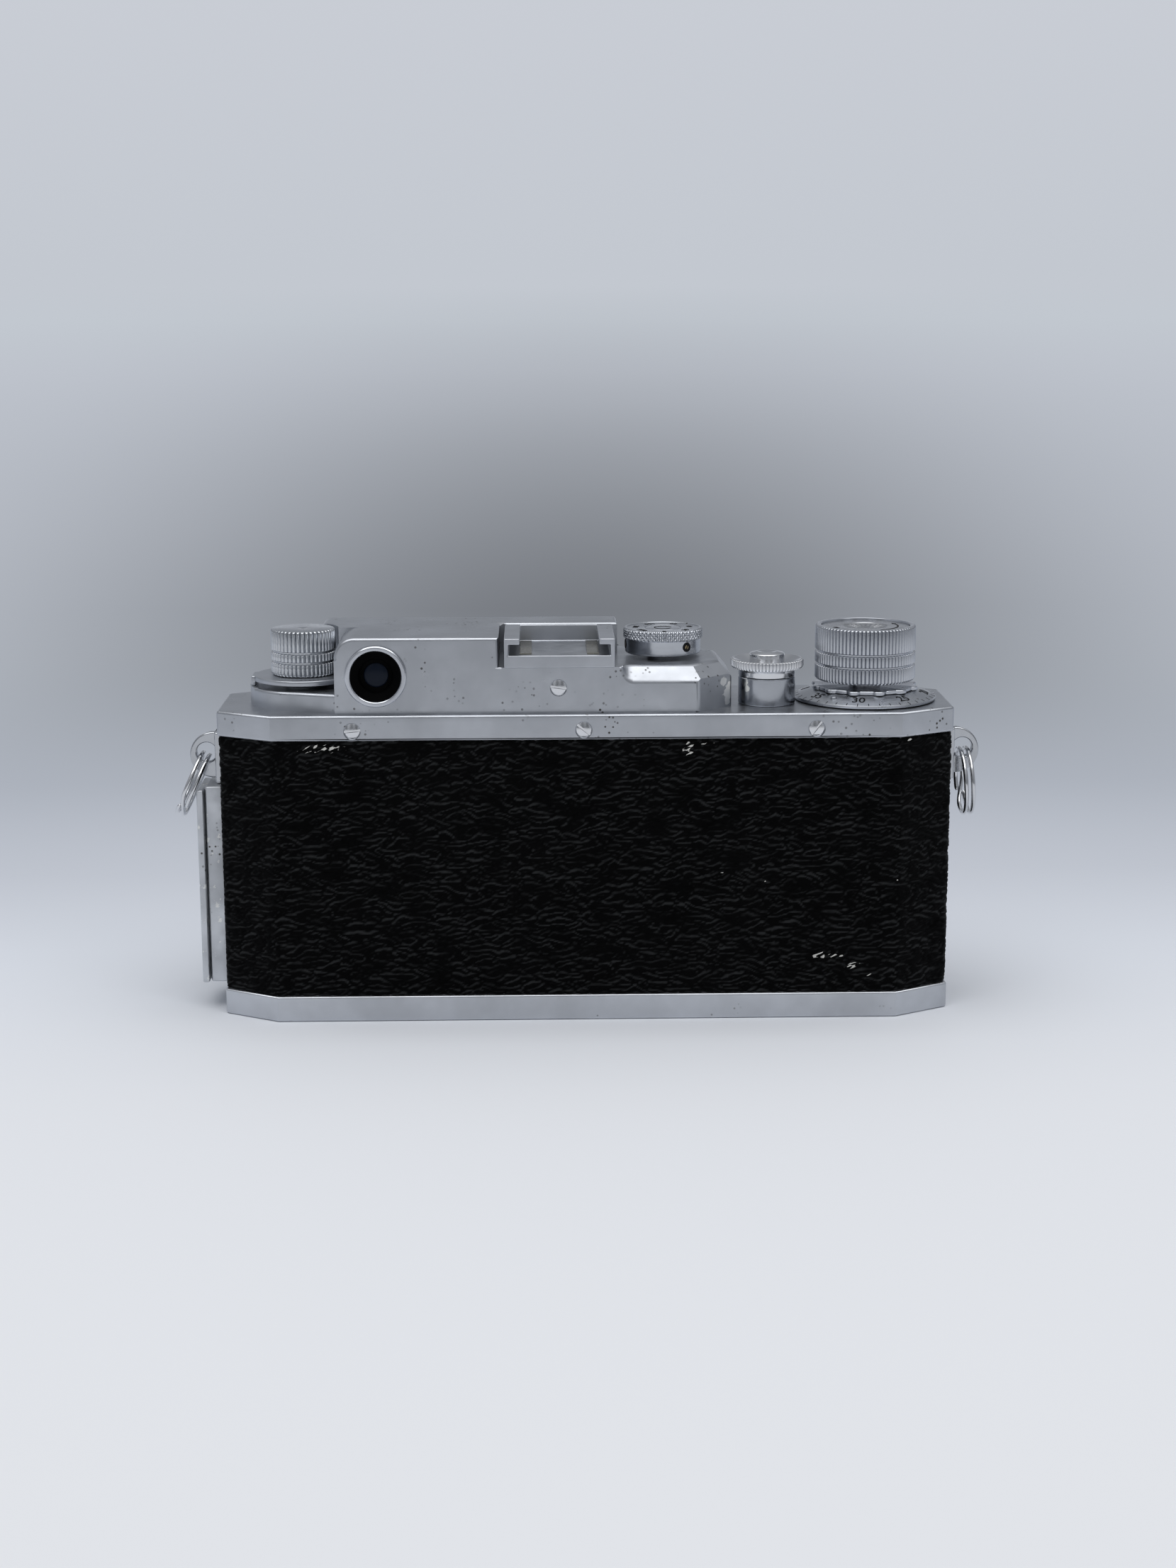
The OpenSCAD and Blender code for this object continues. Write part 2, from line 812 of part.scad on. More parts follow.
advance_z = 62.4;
advance_top = 72.7;
recess_r = 8.4;
module advance_knob() {
    color(silver) difference() {
        grooved_knob(advance_x, advance_r, advance_z, advance_top, 67.5, 65.4, 0.3);
        post(advance_x, 0, 2.42, advance_z - over, 70.6);
        post(advance_x, 0, recess_r, advance_top - 1.2, advance_top + over);
    }
}

module film_reminder_disc() {
    cup_r = 3.9;
    disc_z = advance_top - 1.2;
    color(chrome) difference() {
        post(advance_x, 0, recess_r - gap, disc_z + 0.05, advance_top - 0.3);
        translate([advance_x, 0, advance_top + 0.8]) sphere(r = 1.8);
        tube(advance_x, 0, cup_r + 0.15, cup_r, advance_top - 0.5, advance_top);
    }
}

module advance_shaft() {
    color(chrome) {
        post(advance_x, 0, 3, 50.2, advance_z);
        post(advance_x, 0, 2.4, advance_z - gap, 70);
        post(advance_x, 0, 2, 30, 50.3);
        gear(advance_x, 0, to_idler);
    }
}

counter_z0 = 58.7;
counter_z1 = 59.3;
counter_bore = 3.4;
module counter_dial() {
    pin_ring = 11.3;
    pin_r = 0.6;
    pin_angle = -127.6;
    color(silver) {
        tube(advance_x, 0, counter_r, counter_bore, counter_z0, counter_z1);
        for (a = [pin_angle, pin_angle + 180])
            post(advance_x + pin_ring * cos(a), pin_ring * sin(a), pin_r,
                 counter_z1 - gap, counter_z1 + 1.1);
    }
}

module counter_ring() {
    lobes = 12;
    lobe_ring = 8.9;
    lobe_r = 1.3;
    color(silver) difference() {
        union() {
            post(advance_x, 0, 8.2, counter_z1, 61.3);
            post(advance_x, 0, 9.4, 60.6, 61.3);
            for (i = [0 : lobes - 1])
                post(advance_x + lobe_ring * cos(i * 360 / lobes), lobe_ring * sin(i * 360 / lobes),
                     lobe_r, 60.6, 61.3);
        }
        post(advance_x, 0, counter_bore, 0, high_top);
    }
}

module idler_gear() {
    color(brass) difference() {
        gear(idler_x, idler_y, idler_turn);
        post(idler_x, idler_y, 1.25, 0, deck_z);
    }
}

module sprocket_drum() {
    tooth_ring = 6.4;
    perforation = 14.2;
    color(chrome) {
        post(sprocket_x, sprocket_y, 1.5, 5.5, gear_z1);
        post(sprocket_x, sprocket_y, 4.6, 8, 49.6);
        for (side = [-1, 1]) {
            z = film_z + side * perforation;
            post(sprocket_x, sprocket_y, 5.8, z - 1.5, z + 1.5);
            for (i = [0 : 7])
                translate([sprocket_x, sprocket_y, z]) rotate([0, 0, i * 45 + 22.5])
                    block([5, -0.6, -0.9], [tooth_ring, 0.6, 0.9]);
        }
        gear(sprocket_x, sprocket_y, sprocket_turn);
    }
}

module take_up_spool() {
    flange_r_spool = 12.1;
    core_r = 5.5;
    color(black) difference() {
        union() {
            post(advance_x, 0, core_r, 6, 49.6);
            post(advance_x, 0, flange_r_spool, 6, 7.2);
            post(advance_x, 0, flange_r_spool, 48.4, 49.6);
        }
        post(advance_x, 0, 2 + fit, 28, deck_z);
        block([advance_x - core_r - over, -0.5, 18], [advance_x - 3, 0.5, 40]);
    }
}

// ---- Slow speed dial on the front ----

slow_x = 33;
slow_z = 44;
slow_boss_r = 8.6;
slow_r = 7.4;
module slow_dial_boss() {
    color(silver) bar(slow_x, slow_z, slow_boss_r, half_d - skin, half_d + 0.9);
}

module slow_speed_dial() {
    y0 = half_d + 1;
    color(silver) {
        bar(slow_x, slow_z, slow_r, y0, y0 + 2.6);
        bar(slow_x, slow_z, slow_r - 1.2, y0 + 2.5, y0 + 3.3);
        bar(slow_x + 5.2, slow_z, 0.8, y0 + 3, y0 + 4);
    }
}

// ---- Rangefinder arm: its roller rides on the lens's rear rim ----

arm_x = 14;
arm_y = 9.4;
arm_reach = 11;
roller_rad = 1.2;
cell_back = arm_y + roller_rad + gap;
module rangefinder_arm() {
    arm_z = 45.2;
    color(chrome) {
        post(arm_x, arm_y, 1, 43.6, 64);
        block([arm_x - arm_reach, arm_y - 0.5, arm_z - 0.8], [arm_x, arm_y + 0.5, arm_z + 0.8]);
        post(arm_x - arm_reach, arm_y, roller_rad, arm_z - 1, arm_z + 1);
        block([arm_x - 4, arm_y - 1, 62.4], [arm_x, arm_y - 0.1, 63.4]);
    }
}

// ---- Lens: depths are counted forward from the flange face ----

function lens_y(d) = flange_y + d;
cell_r = 16.1;
sleeve_r = 18;
focus_y0 = 3.6;
focus_y1 = 14.6;
module lens_barrel() {
    color(chrome) difference() {
        union() {
            bar(0, lens_z, mount_r - 0.08, lens_y(-3.5), lens_y(gap));
            bar(0, lens_z, 22.4, lens_y(0), lens_y(3.4));
            bar(0, lens_z, sleeve_r, lens_y(3.3), lens_y(14.6));
        }
        bar(0, lens_z, cell_r + fit, lens_y(-5), lens_y(16));
    }
}

lever_angle = 335;
module focus_ring() {
    color(silver) difference() {
        union() {
            bar(0, lens_z, focus_r, lens_y(focus_y0), lens_y(focus_y1 - 2));
            bar(0, lens_z, focus_r - 1.2, lens_y(focus_y1 - 2.1), lens_y(focus_y1));
            focus_lever_place() block([22, -2.4, -1.7], [26.6, 2.4, 1.7]);
        }
        bar(0, lens_z, sleeve_r + fit, lens_y(0), lens_y(20));
        focus_lever_place() rotate([0, 90, 0]) translate([0, 0, 24.6]) cylinder(h = 4, r = 1.25);
    }
}

module focus_lever_place() {
    translate([0, lens_y(focus_y0 + 3.2), lens_z]) rotate([0, -lever_angle, 0]) children();
}

module infinity_catch() {
    color(chrome) focus_lever_place() rotate([0, 90, 0]) translate([0, 0, 25.7]) cylinder(h = 1.6, r = 1.2);
}

head_y0 = 15;
head_y1 = 28.6;
ring_y0 = 19.6;
ring_y1 = 24.2;
neck_r = 19.4;
filter_r = 19.75;
module lens_head() {
    bore_r = 13.4;
    color(silver) difference() {
        union() {
            bar(0, lens_z, cell_r, cell_back, lens_y(head_y0 + gap));
            bar(0, lens_z, 21.6, lens_y(head_y0), lens_y(ring_y0 - gap));
            bar(0, lens_z, neck_r, lens_y(ring_y0 - 1), lens_y(ring_y1 + 1));
            bar(0, lens_z, 21, lens_y(ring_y1 + gap), lens_y(head_y1));
        }
        bar(0, lens_z, bore_r, lens_y(-8), lens_y(head_y1 + over));
        bar(0, lens_z, filter_r, lens_y(head_y1 - 3), lens_y(head_y1 + over));
        // Funnel between the filter thread and the front glass
        translate([0, lens_y(head_y1 - 4.4), lens_z]) rotate([-90, 0, 0])
            cylinder(h = 1.5, r1 = bore_r, r2 = filter_r - 0.4, $fn = 64);
    }
}

module aperture_ring() {
    color(silver) sleeve(0, lens_z, 22, neck_r + fit, lens_y(ring_y0), lens_y(ring_y1));
}

// Lens of revolution about the lens axis, with its two faces bulged
module glass(r, y0, y1, bulge_0, bulge_1) {
    steps = 10;
    back = [for (i = [0 : steps]) [r * i / steps, y0 - bulge_0 * (1 - pow(i / steps, 2))]];
    front = [for (i = [steps : -1 : 0]) [r * i / steps, y1 + bulge_1 * (1 - pow(i / steps, 2))]];
    translate([0, 0, lens_z]) rotate([-90, 0, 0]) rotate_extrude() polygon(concat(back, front));
}

module lens_glass() {
    color([0.5, 0.5, 0.7, 0.4]) {
        glass(13.3, lens_y(18), lens_y(22.2), 0, 2.2);
        glass(13.3, lens_y(12), lens_y(14), 0, 1);
        glass(13.3, lens_y(-2), lens_y(1), 1.4, 0);
    }
    // Iris diaphragm between the groups
    color(black) sleeve(0, lens_z, 13.3, 5, lens_y(8), lens_y(8.4));
}

// ---- Base plate ----

tripod_x = 50;
tripod_hole_r = 2.6;
bush_r = 5;
key_x = rewind_x;
key_r = 7;
module base_plate() {
    color(silver) difference() {
        union() {
            difference() {
                slab(0, 0, base_h);
                slab(plate_t, plate_t, base_h + over);
            }
            post(tripod_x, 0, bush_r + 1.6, plate_t - gap, base_h);
        }
        post(tripod_x, 0, tripod_hole_r, -over, base_h + over);
        post(key_x, 0, key_r + fit, -over, plate_t + over);
    }
}

module base_key() {
    tab_r = 5.4;
    color(chrome) difference() {
        union() {
            post(key_x, 0, key_r, gap, plate_t + 0.1);
            post(key_x, 0, key_r + 1.4, plate_t + 0.05, 2.4);
        }
        difference() {
            post(key_x, 0, tab_r, -over, 0.8);
            block([key_x - 0.6, -tab_r - 1, -over], [key_x + 0.6, tab_r + 1, over]);
        }
    }
}

body_casting();
rear_covering();
front_covering();
top_plate();
top_housing();
cover_screws();
eyepiece_bezel();
eyepiece_lens();
finder_window();
rangefinder_window();
accessory_shoe();
shoe_springs();
mechanism_plate();
shutter_crate();
film_gate();
opening_curtain();
closing_curtain();
lens_flange();
flange_screws();
strap_lug_left();
strap_lug_right();
flash_rail();
flash_contacts();
beam_splitter();
rangefinder_prism();
release_tower();
slow_dial_boss();
rewind_knob();
rewind_shaft();
finder_lever();
finder_turret();
speed_spindle();
speed_dial();
speed_dial_screws();
release_button();
release_spring();
release_collar();
advance_knob();
advance_shaft();
film_reminder_disc();
counter_dial();
counter_ring();
idler_gear();
sprocket_drum();
take_up_spool();
pressure_plate();
shutter_drum();
spring_roller();
slow_speed_dial();
rangefinder_arm();
lens_barrel();
focus_ring();
infinity_catch();
lens_head();
aperture_ring();
lens_glass();
base_plate();
base_key();
split_ring_left();
split_ring_right();
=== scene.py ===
"""Looks of a rangefinder film camera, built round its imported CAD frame."""

import json
import math

import bmesh
import bpy
import numpy as np
from mathutils import Matrix, Vector


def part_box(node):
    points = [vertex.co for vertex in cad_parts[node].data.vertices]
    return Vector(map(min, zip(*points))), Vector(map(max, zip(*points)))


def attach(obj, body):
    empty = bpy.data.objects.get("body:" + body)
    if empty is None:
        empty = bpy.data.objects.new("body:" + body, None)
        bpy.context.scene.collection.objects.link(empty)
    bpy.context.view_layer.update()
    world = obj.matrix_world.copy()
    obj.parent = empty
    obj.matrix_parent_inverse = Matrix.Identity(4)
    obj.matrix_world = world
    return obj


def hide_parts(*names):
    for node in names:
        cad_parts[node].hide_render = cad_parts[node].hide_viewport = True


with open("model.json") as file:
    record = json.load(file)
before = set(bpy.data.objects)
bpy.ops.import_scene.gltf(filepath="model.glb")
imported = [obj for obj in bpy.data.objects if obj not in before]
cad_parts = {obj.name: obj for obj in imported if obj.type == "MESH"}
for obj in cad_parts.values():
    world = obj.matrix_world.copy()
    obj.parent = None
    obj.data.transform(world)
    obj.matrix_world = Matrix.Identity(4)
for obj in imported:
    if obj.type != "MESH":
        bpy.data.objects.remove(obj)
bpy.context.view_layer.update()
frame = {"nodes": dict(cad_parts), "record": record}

MM = 0.001
TAU = 2 * math.pi
NODES = frame["nodes"]
SLOT_OF = {s["node"]: s["material_slot"] for s in frame["record"]["subparts"]}


# ---- measures ----
def box(node):
    """A CAD node's low and high corners in millimetres."""
    low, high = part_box(node)
    return np.array(low) / MM, np.array(high) / MM


def middle(node):
    low, high = box(node)
    return (low + high) / 2


def half(node):
    low, high = box(node)
    return (high - low) / 2


def span(node, axis):
    """A CAD node's low and high along one axis, in millimetres."""
    low, high = box(node)
    return low[axis], high[axis]


# ---- camera, floor and light ----
CAMERA_AT = Vector((-9.05, -452.76, 138.55)) * MM
PITCH, YAW, ROLL = 0.2098, 0.0210, -0.0029
LENS_MM, SENSOR_MM = 55.52, 36.0


def make_camera():
    forward = Vector((
        math.sin(YAW) * math.cos(PITCH),
        math.cos(YAW) * math.cos(PITCH),
        -math.sin(PITCH),
    ))
    level = forward.cross(Vector((0, 0, 1))).normalized()
    upright = level.cross(forward)
    right = level * math.cos(ROLL) + upright * math.sin(ROLL)
    up = upright * math.cos(ROLL) - level * math.sin(ROLL)
    data = bpy.data.cameras.new("camera")
    data.lens, data.sensor_width = LENS_MM, SENSOR_MM
    data.clip_start, data.clip_end = 0.01, 100
    camera = bpy.data.objects.new("camera", data)
    axes = Matrix((right, up, -forward)).transposed().to_4x4()
    camera.matrix_world = Matrix.Translation(CAMERA_AT) @ axes
    bpy.context.scene.collection.objects.link(camera)
    bpy.context.scene.camera = camera


# ---- node helpers ----
def shader(tree, kind, inputs=None, **settings):
    """Adds a shader node; an input is a socket to link or a value to set."""
    made = tree.nodes.new("ShaderNode" + kind)
    for key, value in settings.items():
        setattr(made, key, value)
    for key, value in (inputs or {}).items():
        if isinstance(value, bpy.types.NodeSocket):
            tree.links.new(value, made.inputs[key])
        else:
            made.inputs[key].default_value = value
    return made


def math_node(tree, operation, a, b=0.0, clamp=False):
    made = shader(tree, "Math", {0: a, 1: b}, operation=operation, use_clamp=clamp)
    return made.outputs[0]


def ramp(tree, factor, stops):
    """Colour ramp from (place, colour or grey) stops."""
    made = shader(tree, "ValToRGB", {"Fac": factor})
    elements = made.color_ramp.elements
    while len(elements) < len(stops):
        elements.new(0.5)
    for element, (place, colour) in zip(elements, stops):
        element.position = place
        element.color = (colour,) * 3 + (1,) if np.isscalar(colour) else (*colour, 1)
    return made.outputs["Color"]


def mix(tree, factor, a, b):
    """Colour mix; a and b are sockets or colours."""
    made = tree.nodes.new("ShaderNodeMix")
    made.data_type = "RGBA"
    for index, value in ((0, factor), (6, a), (7, b)):
        socket = made.inputs[index]
        if isinstance(value, bpy.types.NodeSocket):
            tree.links.new(value, socket)
        elif index == 0:
            socket.default_value = value
        else:
            socket.default_value = (*value, 1)
    return made.outputs[2]


def multiply(tree, factor, a, b):
    inputs = {"Fac": factor, "Color1": a, "Color2": b}
    return shader(tree, "MixRGB", inputs, blend_type="MULTIPLY").outputs[0]


def noise(tree, place, scale, detail=3.0, roughness=0.55):
    inputs = {"Vector": place, "Scale": scale, "Detail": detail, "Roughness": roughness}
    return shader(tree, "TexNoise", inputs).outputs["Fac"]


def material(name):
    made = bpy.data.materials.new(name)
    made.use_nodes = True
    tree = made.node_tree
    return made, tree, tree.nodes["Principled BSDF"]


def object_place(tree, stretch=(1, 1, 1)):
    place = shader(tree, "TexCoord").outputs["Object"]
    return shader(tree, "Mapping", {"Vector": place, "Scale": stretch}).outputs[0]


def bump(tree, bsdf, height, strength, distance):
    inputs = {"Height": height, "Strength": strength, "Distance": distance}
    made = shader(tree, "Bump", inputs)
    tree.links.new(made.outputs[0], bsdf.inputs["Normal"])


# ---- materials ----
def metal(name, colour, rough, pits=0.0, scuffs=0.0, grain=(1, 1, 1), rings=None, patches=()):
    """Plated or bare metal: cloudy colour, fine grain, dark pits and pale scuffs.
    rings is the (x, y, z) in mm of a turned face's axis, for concentric tool marks;
    patches are (x, y, z, radius) in mm of places where the plating has gone chalky."""
    made, tree, bsdf = material(name)
    place = object_place(tree)
    cloud = noise(tree, place, 70, 5)
    dark = [c * 0.84 for c in colour]
    base = mix(tree, ramp(tree, cloud, [(0.38, 0.0), (0.66, 1.0)]), dark, colour)
    fine = noise(tree, object_place(tree, grain), 5200, 2)
    rough_map = noise(tree, place, 260, 4)
    rough_low, rough_high = rough * 0.8, min(1.0, rough * 1.25)
    height = fine
    if pits:
        cells = shader(tree, "TexVoronoi", {"Vector": place, "Scale": 900, "Randomness": 1.0})
        gate = ramp(tree, noise(tree, place, 120, 3), [(0.62 - pits, 0.0), (0.74 - pits, 1.0)])
        dots = ramp(tree, cells.outputs["Distance"], [(0.0, 1.0), (0.16, 1.0), (0.24, 0.0)])
        spot = math_node(tree, "MULTIPLY", dots, gate)
        base = mix(tree, spot, base, (0.07, 0.065, 0.06))
        height = math_node(tree, "SUBTRACT", fine, math_node(tree, "MULTIPLY", spot, 2.0))
    if scuffs:
        scuff_and_glint_mask = ramp(tree, noise(tree, place, 520, 6, 0.7), [(0.66 - scuffs, 0.0), (0.7 - scuffs, 1.0)])
        base = mix(tree, scuff_and_glint_mask, base, (0.86, 0.86, 0.84))
        rough_high = min(1.0, rough_high + 0.15)
    flaky = noise(tree, place, 700, 5, 0.65) if patches else None
    for *spot, radius in patches:
        away = shader(tree, "VectorMath", {0: place, 1: [c * MM for c in spot]}, operation="DISTANCE")
        share = math_node(tree, "DIVIDE", away.outputs["Value"], radius * MM)
        near = math_node(tree, "SUBTRACT", 1.0, share)
        chalk = ramp(tree, math_node(tree, "ADD", near, flaky), [(0.84, 0.0), (0.9, 1.0)])
        base = mix(tree, chalk, base, (0.92, 0.92, 0.9))
    tree.links.new(base, bsdf.inputs["Base Color"])
    rough_out = ramp(tree, rough_map, [(0.3, rough_low), (0.7, rough_high)])
    tree.links.new(rough_out, bsdf.inputs["Roughness"])
    bsdf.inputs["Metallic"].default_value = 1.0
    if rings is not None:
        centred = shader(tree, "Mapping", {
            "Vector": shader(tree, "TexCoord").outputs["Object"],
            "Location": [-c * MM for c in rings],
        })
        waves = shader(
            tree, "TexWave", {"Vector": centred.outputs[0], "Scale": 700, "Distortion": 0.6},
            wave_type="RINGS", rings_direction="SPHERICAL",
        )
        height = math_node(tree, "ADD", height, waves.outputs["Fac"])
    bump(tree, bsdf, height, 0.35, 0.00002)
    return made


def leather(name):
    """Black wrinkled covering with a dull gloss, pale chips where it flaked, and painted glints on the
    upward-facing lips of its creases.
    """
    made, tree, bsdf = material(name)
    grain = noise(tree, object_place(tree, (0.45, 0.45, 1)), 2400, 3, 0.6)
    dust = ramp(tree, noise(tree, object_place(tree), 60, 4), [(0.35, 0.0), (0.75, 1.0)])
    base = mix(tree, dust, (0.0005, 0.0005, 0.0006), (0.0014, 0.0014, 0.0015))
    # painted glint: a lighter grey on the creases' upward-facing lips, standing in for caught light
    painted_glint = shader(tree, "Attribute", attribute_name="painted_glint").outputs["Fac"]
    base = mix(tree, painted_glint, base, (0.023, 0.024, 0.025))
    chip = shader(tree, "Attribute", attribute_name="chip").outputs["Fac"]
    flake = ramp(tree, chip, [(0.42, 0.0), (0.5, 1.0)])
    base = mix(tree, flake, base, (0.62, 0.61, 0.57))
    tree.links.new(base, bsdf.inputs["Base Color"])
    rough = ramp(tree, noise(tree, object_place(tree), 900, 3), [(0.3, 0.42), (0.7, 0.62)])
    tree.links.new(rough, bsdf.inputs["Roughness"])
    bsdf.inputs["Specular IOR Level"].default_value = 0.035
    bump(tree, bsdf, grain, 0.5, 0.00006)
    return made


def matte(name, colour, rough, scale=1400.0, gloss=0.5):
    """Paint, moulding or cloth: a dull colour with a fine mottled surface."""
    made, tree, bsdf = material(name)
    place = object_place(tree)
    pale = [min(1.0, c * 1.25 + 0.3 * min(c, 0.012)) for c in colour]
    bsdf.inputs["Specular IOR Level"].default_value = gloss
    cloud = ramp(tree, noise(tree, place, scale / 8, 5), [(0.35, 0.0), (0.7, 1.0)])
    base = mix(tree, cloud, colour, pale)
    tree.links.new(base, bsdf.inputs["Base Color"])
    rough_range = [(0.3, rough * 0.85), (0.7, min(1, rough * 1.15))]
    tree.links.new(ramp(tree, noise(tree, place, scale / 3, 3), rough_range), bsdf.inputs["Roughness"])
    bump(tree, bsdf, noise(tree, place, scale, 3), 0.4, 0.00003)
    return made


def glass(name, tint, rough=0.02, see_through=1.0, gloss=0.5):
    """Clear or coated glass with a faint smear in its gloss."""
    made, tree, bsdf = material(name)
    smear = noise(tree, object_place(tree), 160, 4)
    tree.links.new(ramp(tree, smear, [(0.4, rough), (0.8, rough + 0.05)]), bsdf.inputs["Roughness"])
    tree.links.new(mix(tree, smear, tint, [c * 0.92 for c in tint]), bsdf.inputs["Base Color"])
    bsdf.inputs["Transmission Weight"].default_value = see_through
    bsdf.inputs["IOR"].default_value = 1.52
    bsdf.inputs["Specular IOR Level"].default_value = gloss
    return made


CHROME = (0.505, 0.525, 0.56)
MATERIALS = {
    "satin_chrome": metal("satin_chrome", CHROME, 0.36, pits=0.02),
    "bright_chrome": metal("bright_chrome", (0.72, 0.73, 0.75), 0.13),
    "covering": leather("covering"),
    "casting_metal": metal("casting_metal", (0.2, 0.2, 0.21), 0.5),
    "black_paint": matte("black_paint", (0.012, 0.012, 0.013), 0.5),
    "brass": metal("brass", (0.42, 0.33, 0.19), 0.28),
    "steel": metal("steel", (0.55, 0.55, 0.57), 0.28, grain=(1, 1, 0.1)),
    "light_alloy": metal("light_alloy", (0.6, 0.61, 0.63), 0.34),
    "curtain_cloth": matte("curtain_cloth", (0.01, 0.01, 0.01), 0.8, scale=4200.0),
    "clear_glass": glass("clear_glass", (0.85, 0.89, 0.95)),
    "lens_coating": glass("lens_coating", (0.02, 0.016, 0.034), 0.03, see_through=0.0, gloss=0.6),
    "insulator": matte("insulator", (0.02, 0.02, 0.02), 0.4),
}
PITTED = metal("pitted_chrome", CHROME, 0.34, pits=0.075)
TOWER_C = middle("release_tower")
CORRODED = metal("corroded_chrome", CHROME, 0.34, pits=0.075, patches=(
    (26.9, -7.5, 61.4, 2.6), (26.0, -9.0, 63.4, 1.6), (27.2, -5.5, 60.0, 1.8), (26.4, -8.2, 59.6, 1.2),
))
SCUFFED = metal("scuffed_alloy", (0.64, 0.66, 0.69), 0.42, pits=0.05, scuffs=0.06)
WORN = metal("worn_chrome", (0.43, 0.45, 0.485), 0.17, pits=0.01, patches=(
    (TOWER_C[0] - 4.3, TOWER_C[1] - 2.9, 63.0, 1.5), (TOWER_C[0] - 3.9, TOWER_C[1] - 3.4, 61.8, 1.1),
))
LUG = metal("lug_chrome", (0.5, 0.515, 0.54), 0.16, pits=0.02)
BASE_CHROME = metal("base_chrome", (0.6, 0.62, 0.655), 0.36, pits=0.02)
INK = matte("engraved_ink", (0.008, 0.008, 0.009), 0.6, gloss=0.1)
FUNNEL = matte("funnel_black", (0.0012, 0.0012, 0.0014), 0.7, gloss=0.03)
KNURLED = metal("knurled_chrome", (0.56, 0.58, 0.62), 0.2, pits=0.02)
DARK_GLASS = glass("dark_glass", (0.008, 0.012, 0.022), 0.08, see_through=0.0, gloss=0.1)


# ---- mesh helpers ----
def fillet(points, closed=True, steps=4):
    """Corner points (a, b, radius) as a path whose corners are rounded."""
    path = []
    for i, (a, b, radius) in enumerate(points):
        here = np.array((a, b), float)
        if radius <= 0 or (not closed and i in (0, len(points) - 1)):
            path.append(here)
            continue
        back = np.array(points[i - 1][:2], float) - here
        ahead = np.array(points[(i + 1) % len(points)][:2], float) - here
        back /= np.linalg.norm(back)
        ahead /= np.linalg.norm(ahead)
        opening = math.acos(np.clip(back @ ahead, -1, 1)) / 2
        bisector = (back + ahead) / np.linalg.norm(back + ahead)
        centre = here + bisector * radius / math.sin(opening)
        reach = radius / math.tan(opening)
        first = here + back * reach - centre
        last = here + ahead * reach - centre
        start = math.atan2(first[1], first[0])
        turn = (math.atan2(last[1], last[0]) - start + math.pi) % TAU - math.pi
        for k in range(steps + 1):
            angle = start + turn * k / steps
            path.append(centre + radius * np.array((math.cos(angle), math.sin(angle))))
    return np.array(path)


def grid_quads(rows, cols, wrap_rows=False, wrap_cols=False):
    """Quads of a grid of vertices stored row by row."""
    i = np.arange(rows if wrap_rows else rows - 1)[:, None]
    j = np.arange(cols if wrap_cols else cols - 1)[None, :]
    i2, j2 = (i + 1) % rows, (j + 1) % cols
    corners = np.broadcast_arrays(i * cols + j, i * cols + j2, i2 * cols + j2, i2 * cols + j)
    return np.stack(corners, -1).reshape(-1, 4)


def shade_smooth(mesh):
    mesh.polygons.foreach_set("use_smooth", [True] * len(mesh.polygons))


def build(name, verts, faces, look, tidy=True, smooth=True):
    """Mesh object from vertices in millimetres."""
    mesh = bpy.data.meshes.new(name)
    mesh.from_pydata((np.asarray(verts, float) * MM).tolist(), [], [list(map(int, f)) for f in faces])
    if tidy:
        work = bmesh.new()
        work.from_mesh(mesh)
        bmesh.ops.remove_doubles(work, verts=work.verts, dist=2e-7)
        bmesh.ops.dissolve_degenerate(work, edges=work.edges, dist=1e-7)
        bmesh.ops.recalc_face_normals(work, faces=work.faces)
        work.to_mesh(mesh)
        work.free()
    mesh.materials.append(MATERIALS[look] if isinstance(look, str) else look)
    made = placed_object(name, mesh)
    if smooth:
        shade_smooth(mesh)
        mesh.set_sharp_from_angle(angle=math.radians(38))
    return made


def placed_object(name, mesh):
    made = bpy.data.objects.new(name, mesh)
    bpy.context.scene.collection.objects.link(made)
    return made


def finish_piece(made, body, slot, *replaced):
    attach(made, body)
    if replaced:
        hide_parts(*replaced)
    return made


def piece(name, part, look, body, slot, *replaced, smooth=True):
    """Builds a part, gives it its body and hides the CAD nodes that it stands for; its slot is not
    used.
    """
    return finish_piece(build(name, *part, look, smooth=smooth), body, slot, *replaced)


AXES = {
    "z": lambda r, h, c, s: (r * c, r * s, h),
    "y": lambda r, h, c, s: (r * c, h, r * s),
}


def revolve(profile, at, axis="z", around=96, shape=None):
    """Vertices and quads of a solid of revolution about at (x, y, z in mm).
    profile is (radius, height) points: a closed path, or one that starts and ends on the axis."""
    profile = np.asarray(profile, float)
    angle = (np.arange(around) * TAU / around)[None, :]
    r = np.repeat(profile[:, :1], around, 1)
    h = np.repeat(profile[:, 1:2], around, 1)
    if shape:
        r, h = shape(angle, r, h)
    parts = np.broadcast_arrays(*AXES[axis](r, h, np.cos(angle), np.sin(angle)))
    verts = np.stack(parts, -1).reshape(-1, 3) + np.asarray(at, float)
    closed = profile[0, 0] > 0
    return verts, grid_quads(len(profile), around, wrap_rows=closed, wrap_cols=True)


def flutes(count, depth, r_min, power=0.6, h_span=(-1e9, 1e9)):
    """Shape for revolve: cusped grooves in whatever lies outside r_min and within h_span."""
    def shape(angle, r, h):
        cut = depth * (1 - np.abs(np.sin(angle * count / 2)) ** power)
        inside = (r > r_min) & (h > h_span[0]) & (h < h_span[1])
        return np.where(inside, r - cut * np.clip((r - r_min) / 0.12, 0, 1), r), h
    return shape


def joined(*parts):
    """Several (vertices, faces) as one."""
    verts, faces, start = [], [], 0
    for v, f in parts:
        verts.append(np.asarray(v, float))
        faces += [[int(i) + start for i in face] for face in f]
        start += len(v)
    return np.concatenate(verts), faces


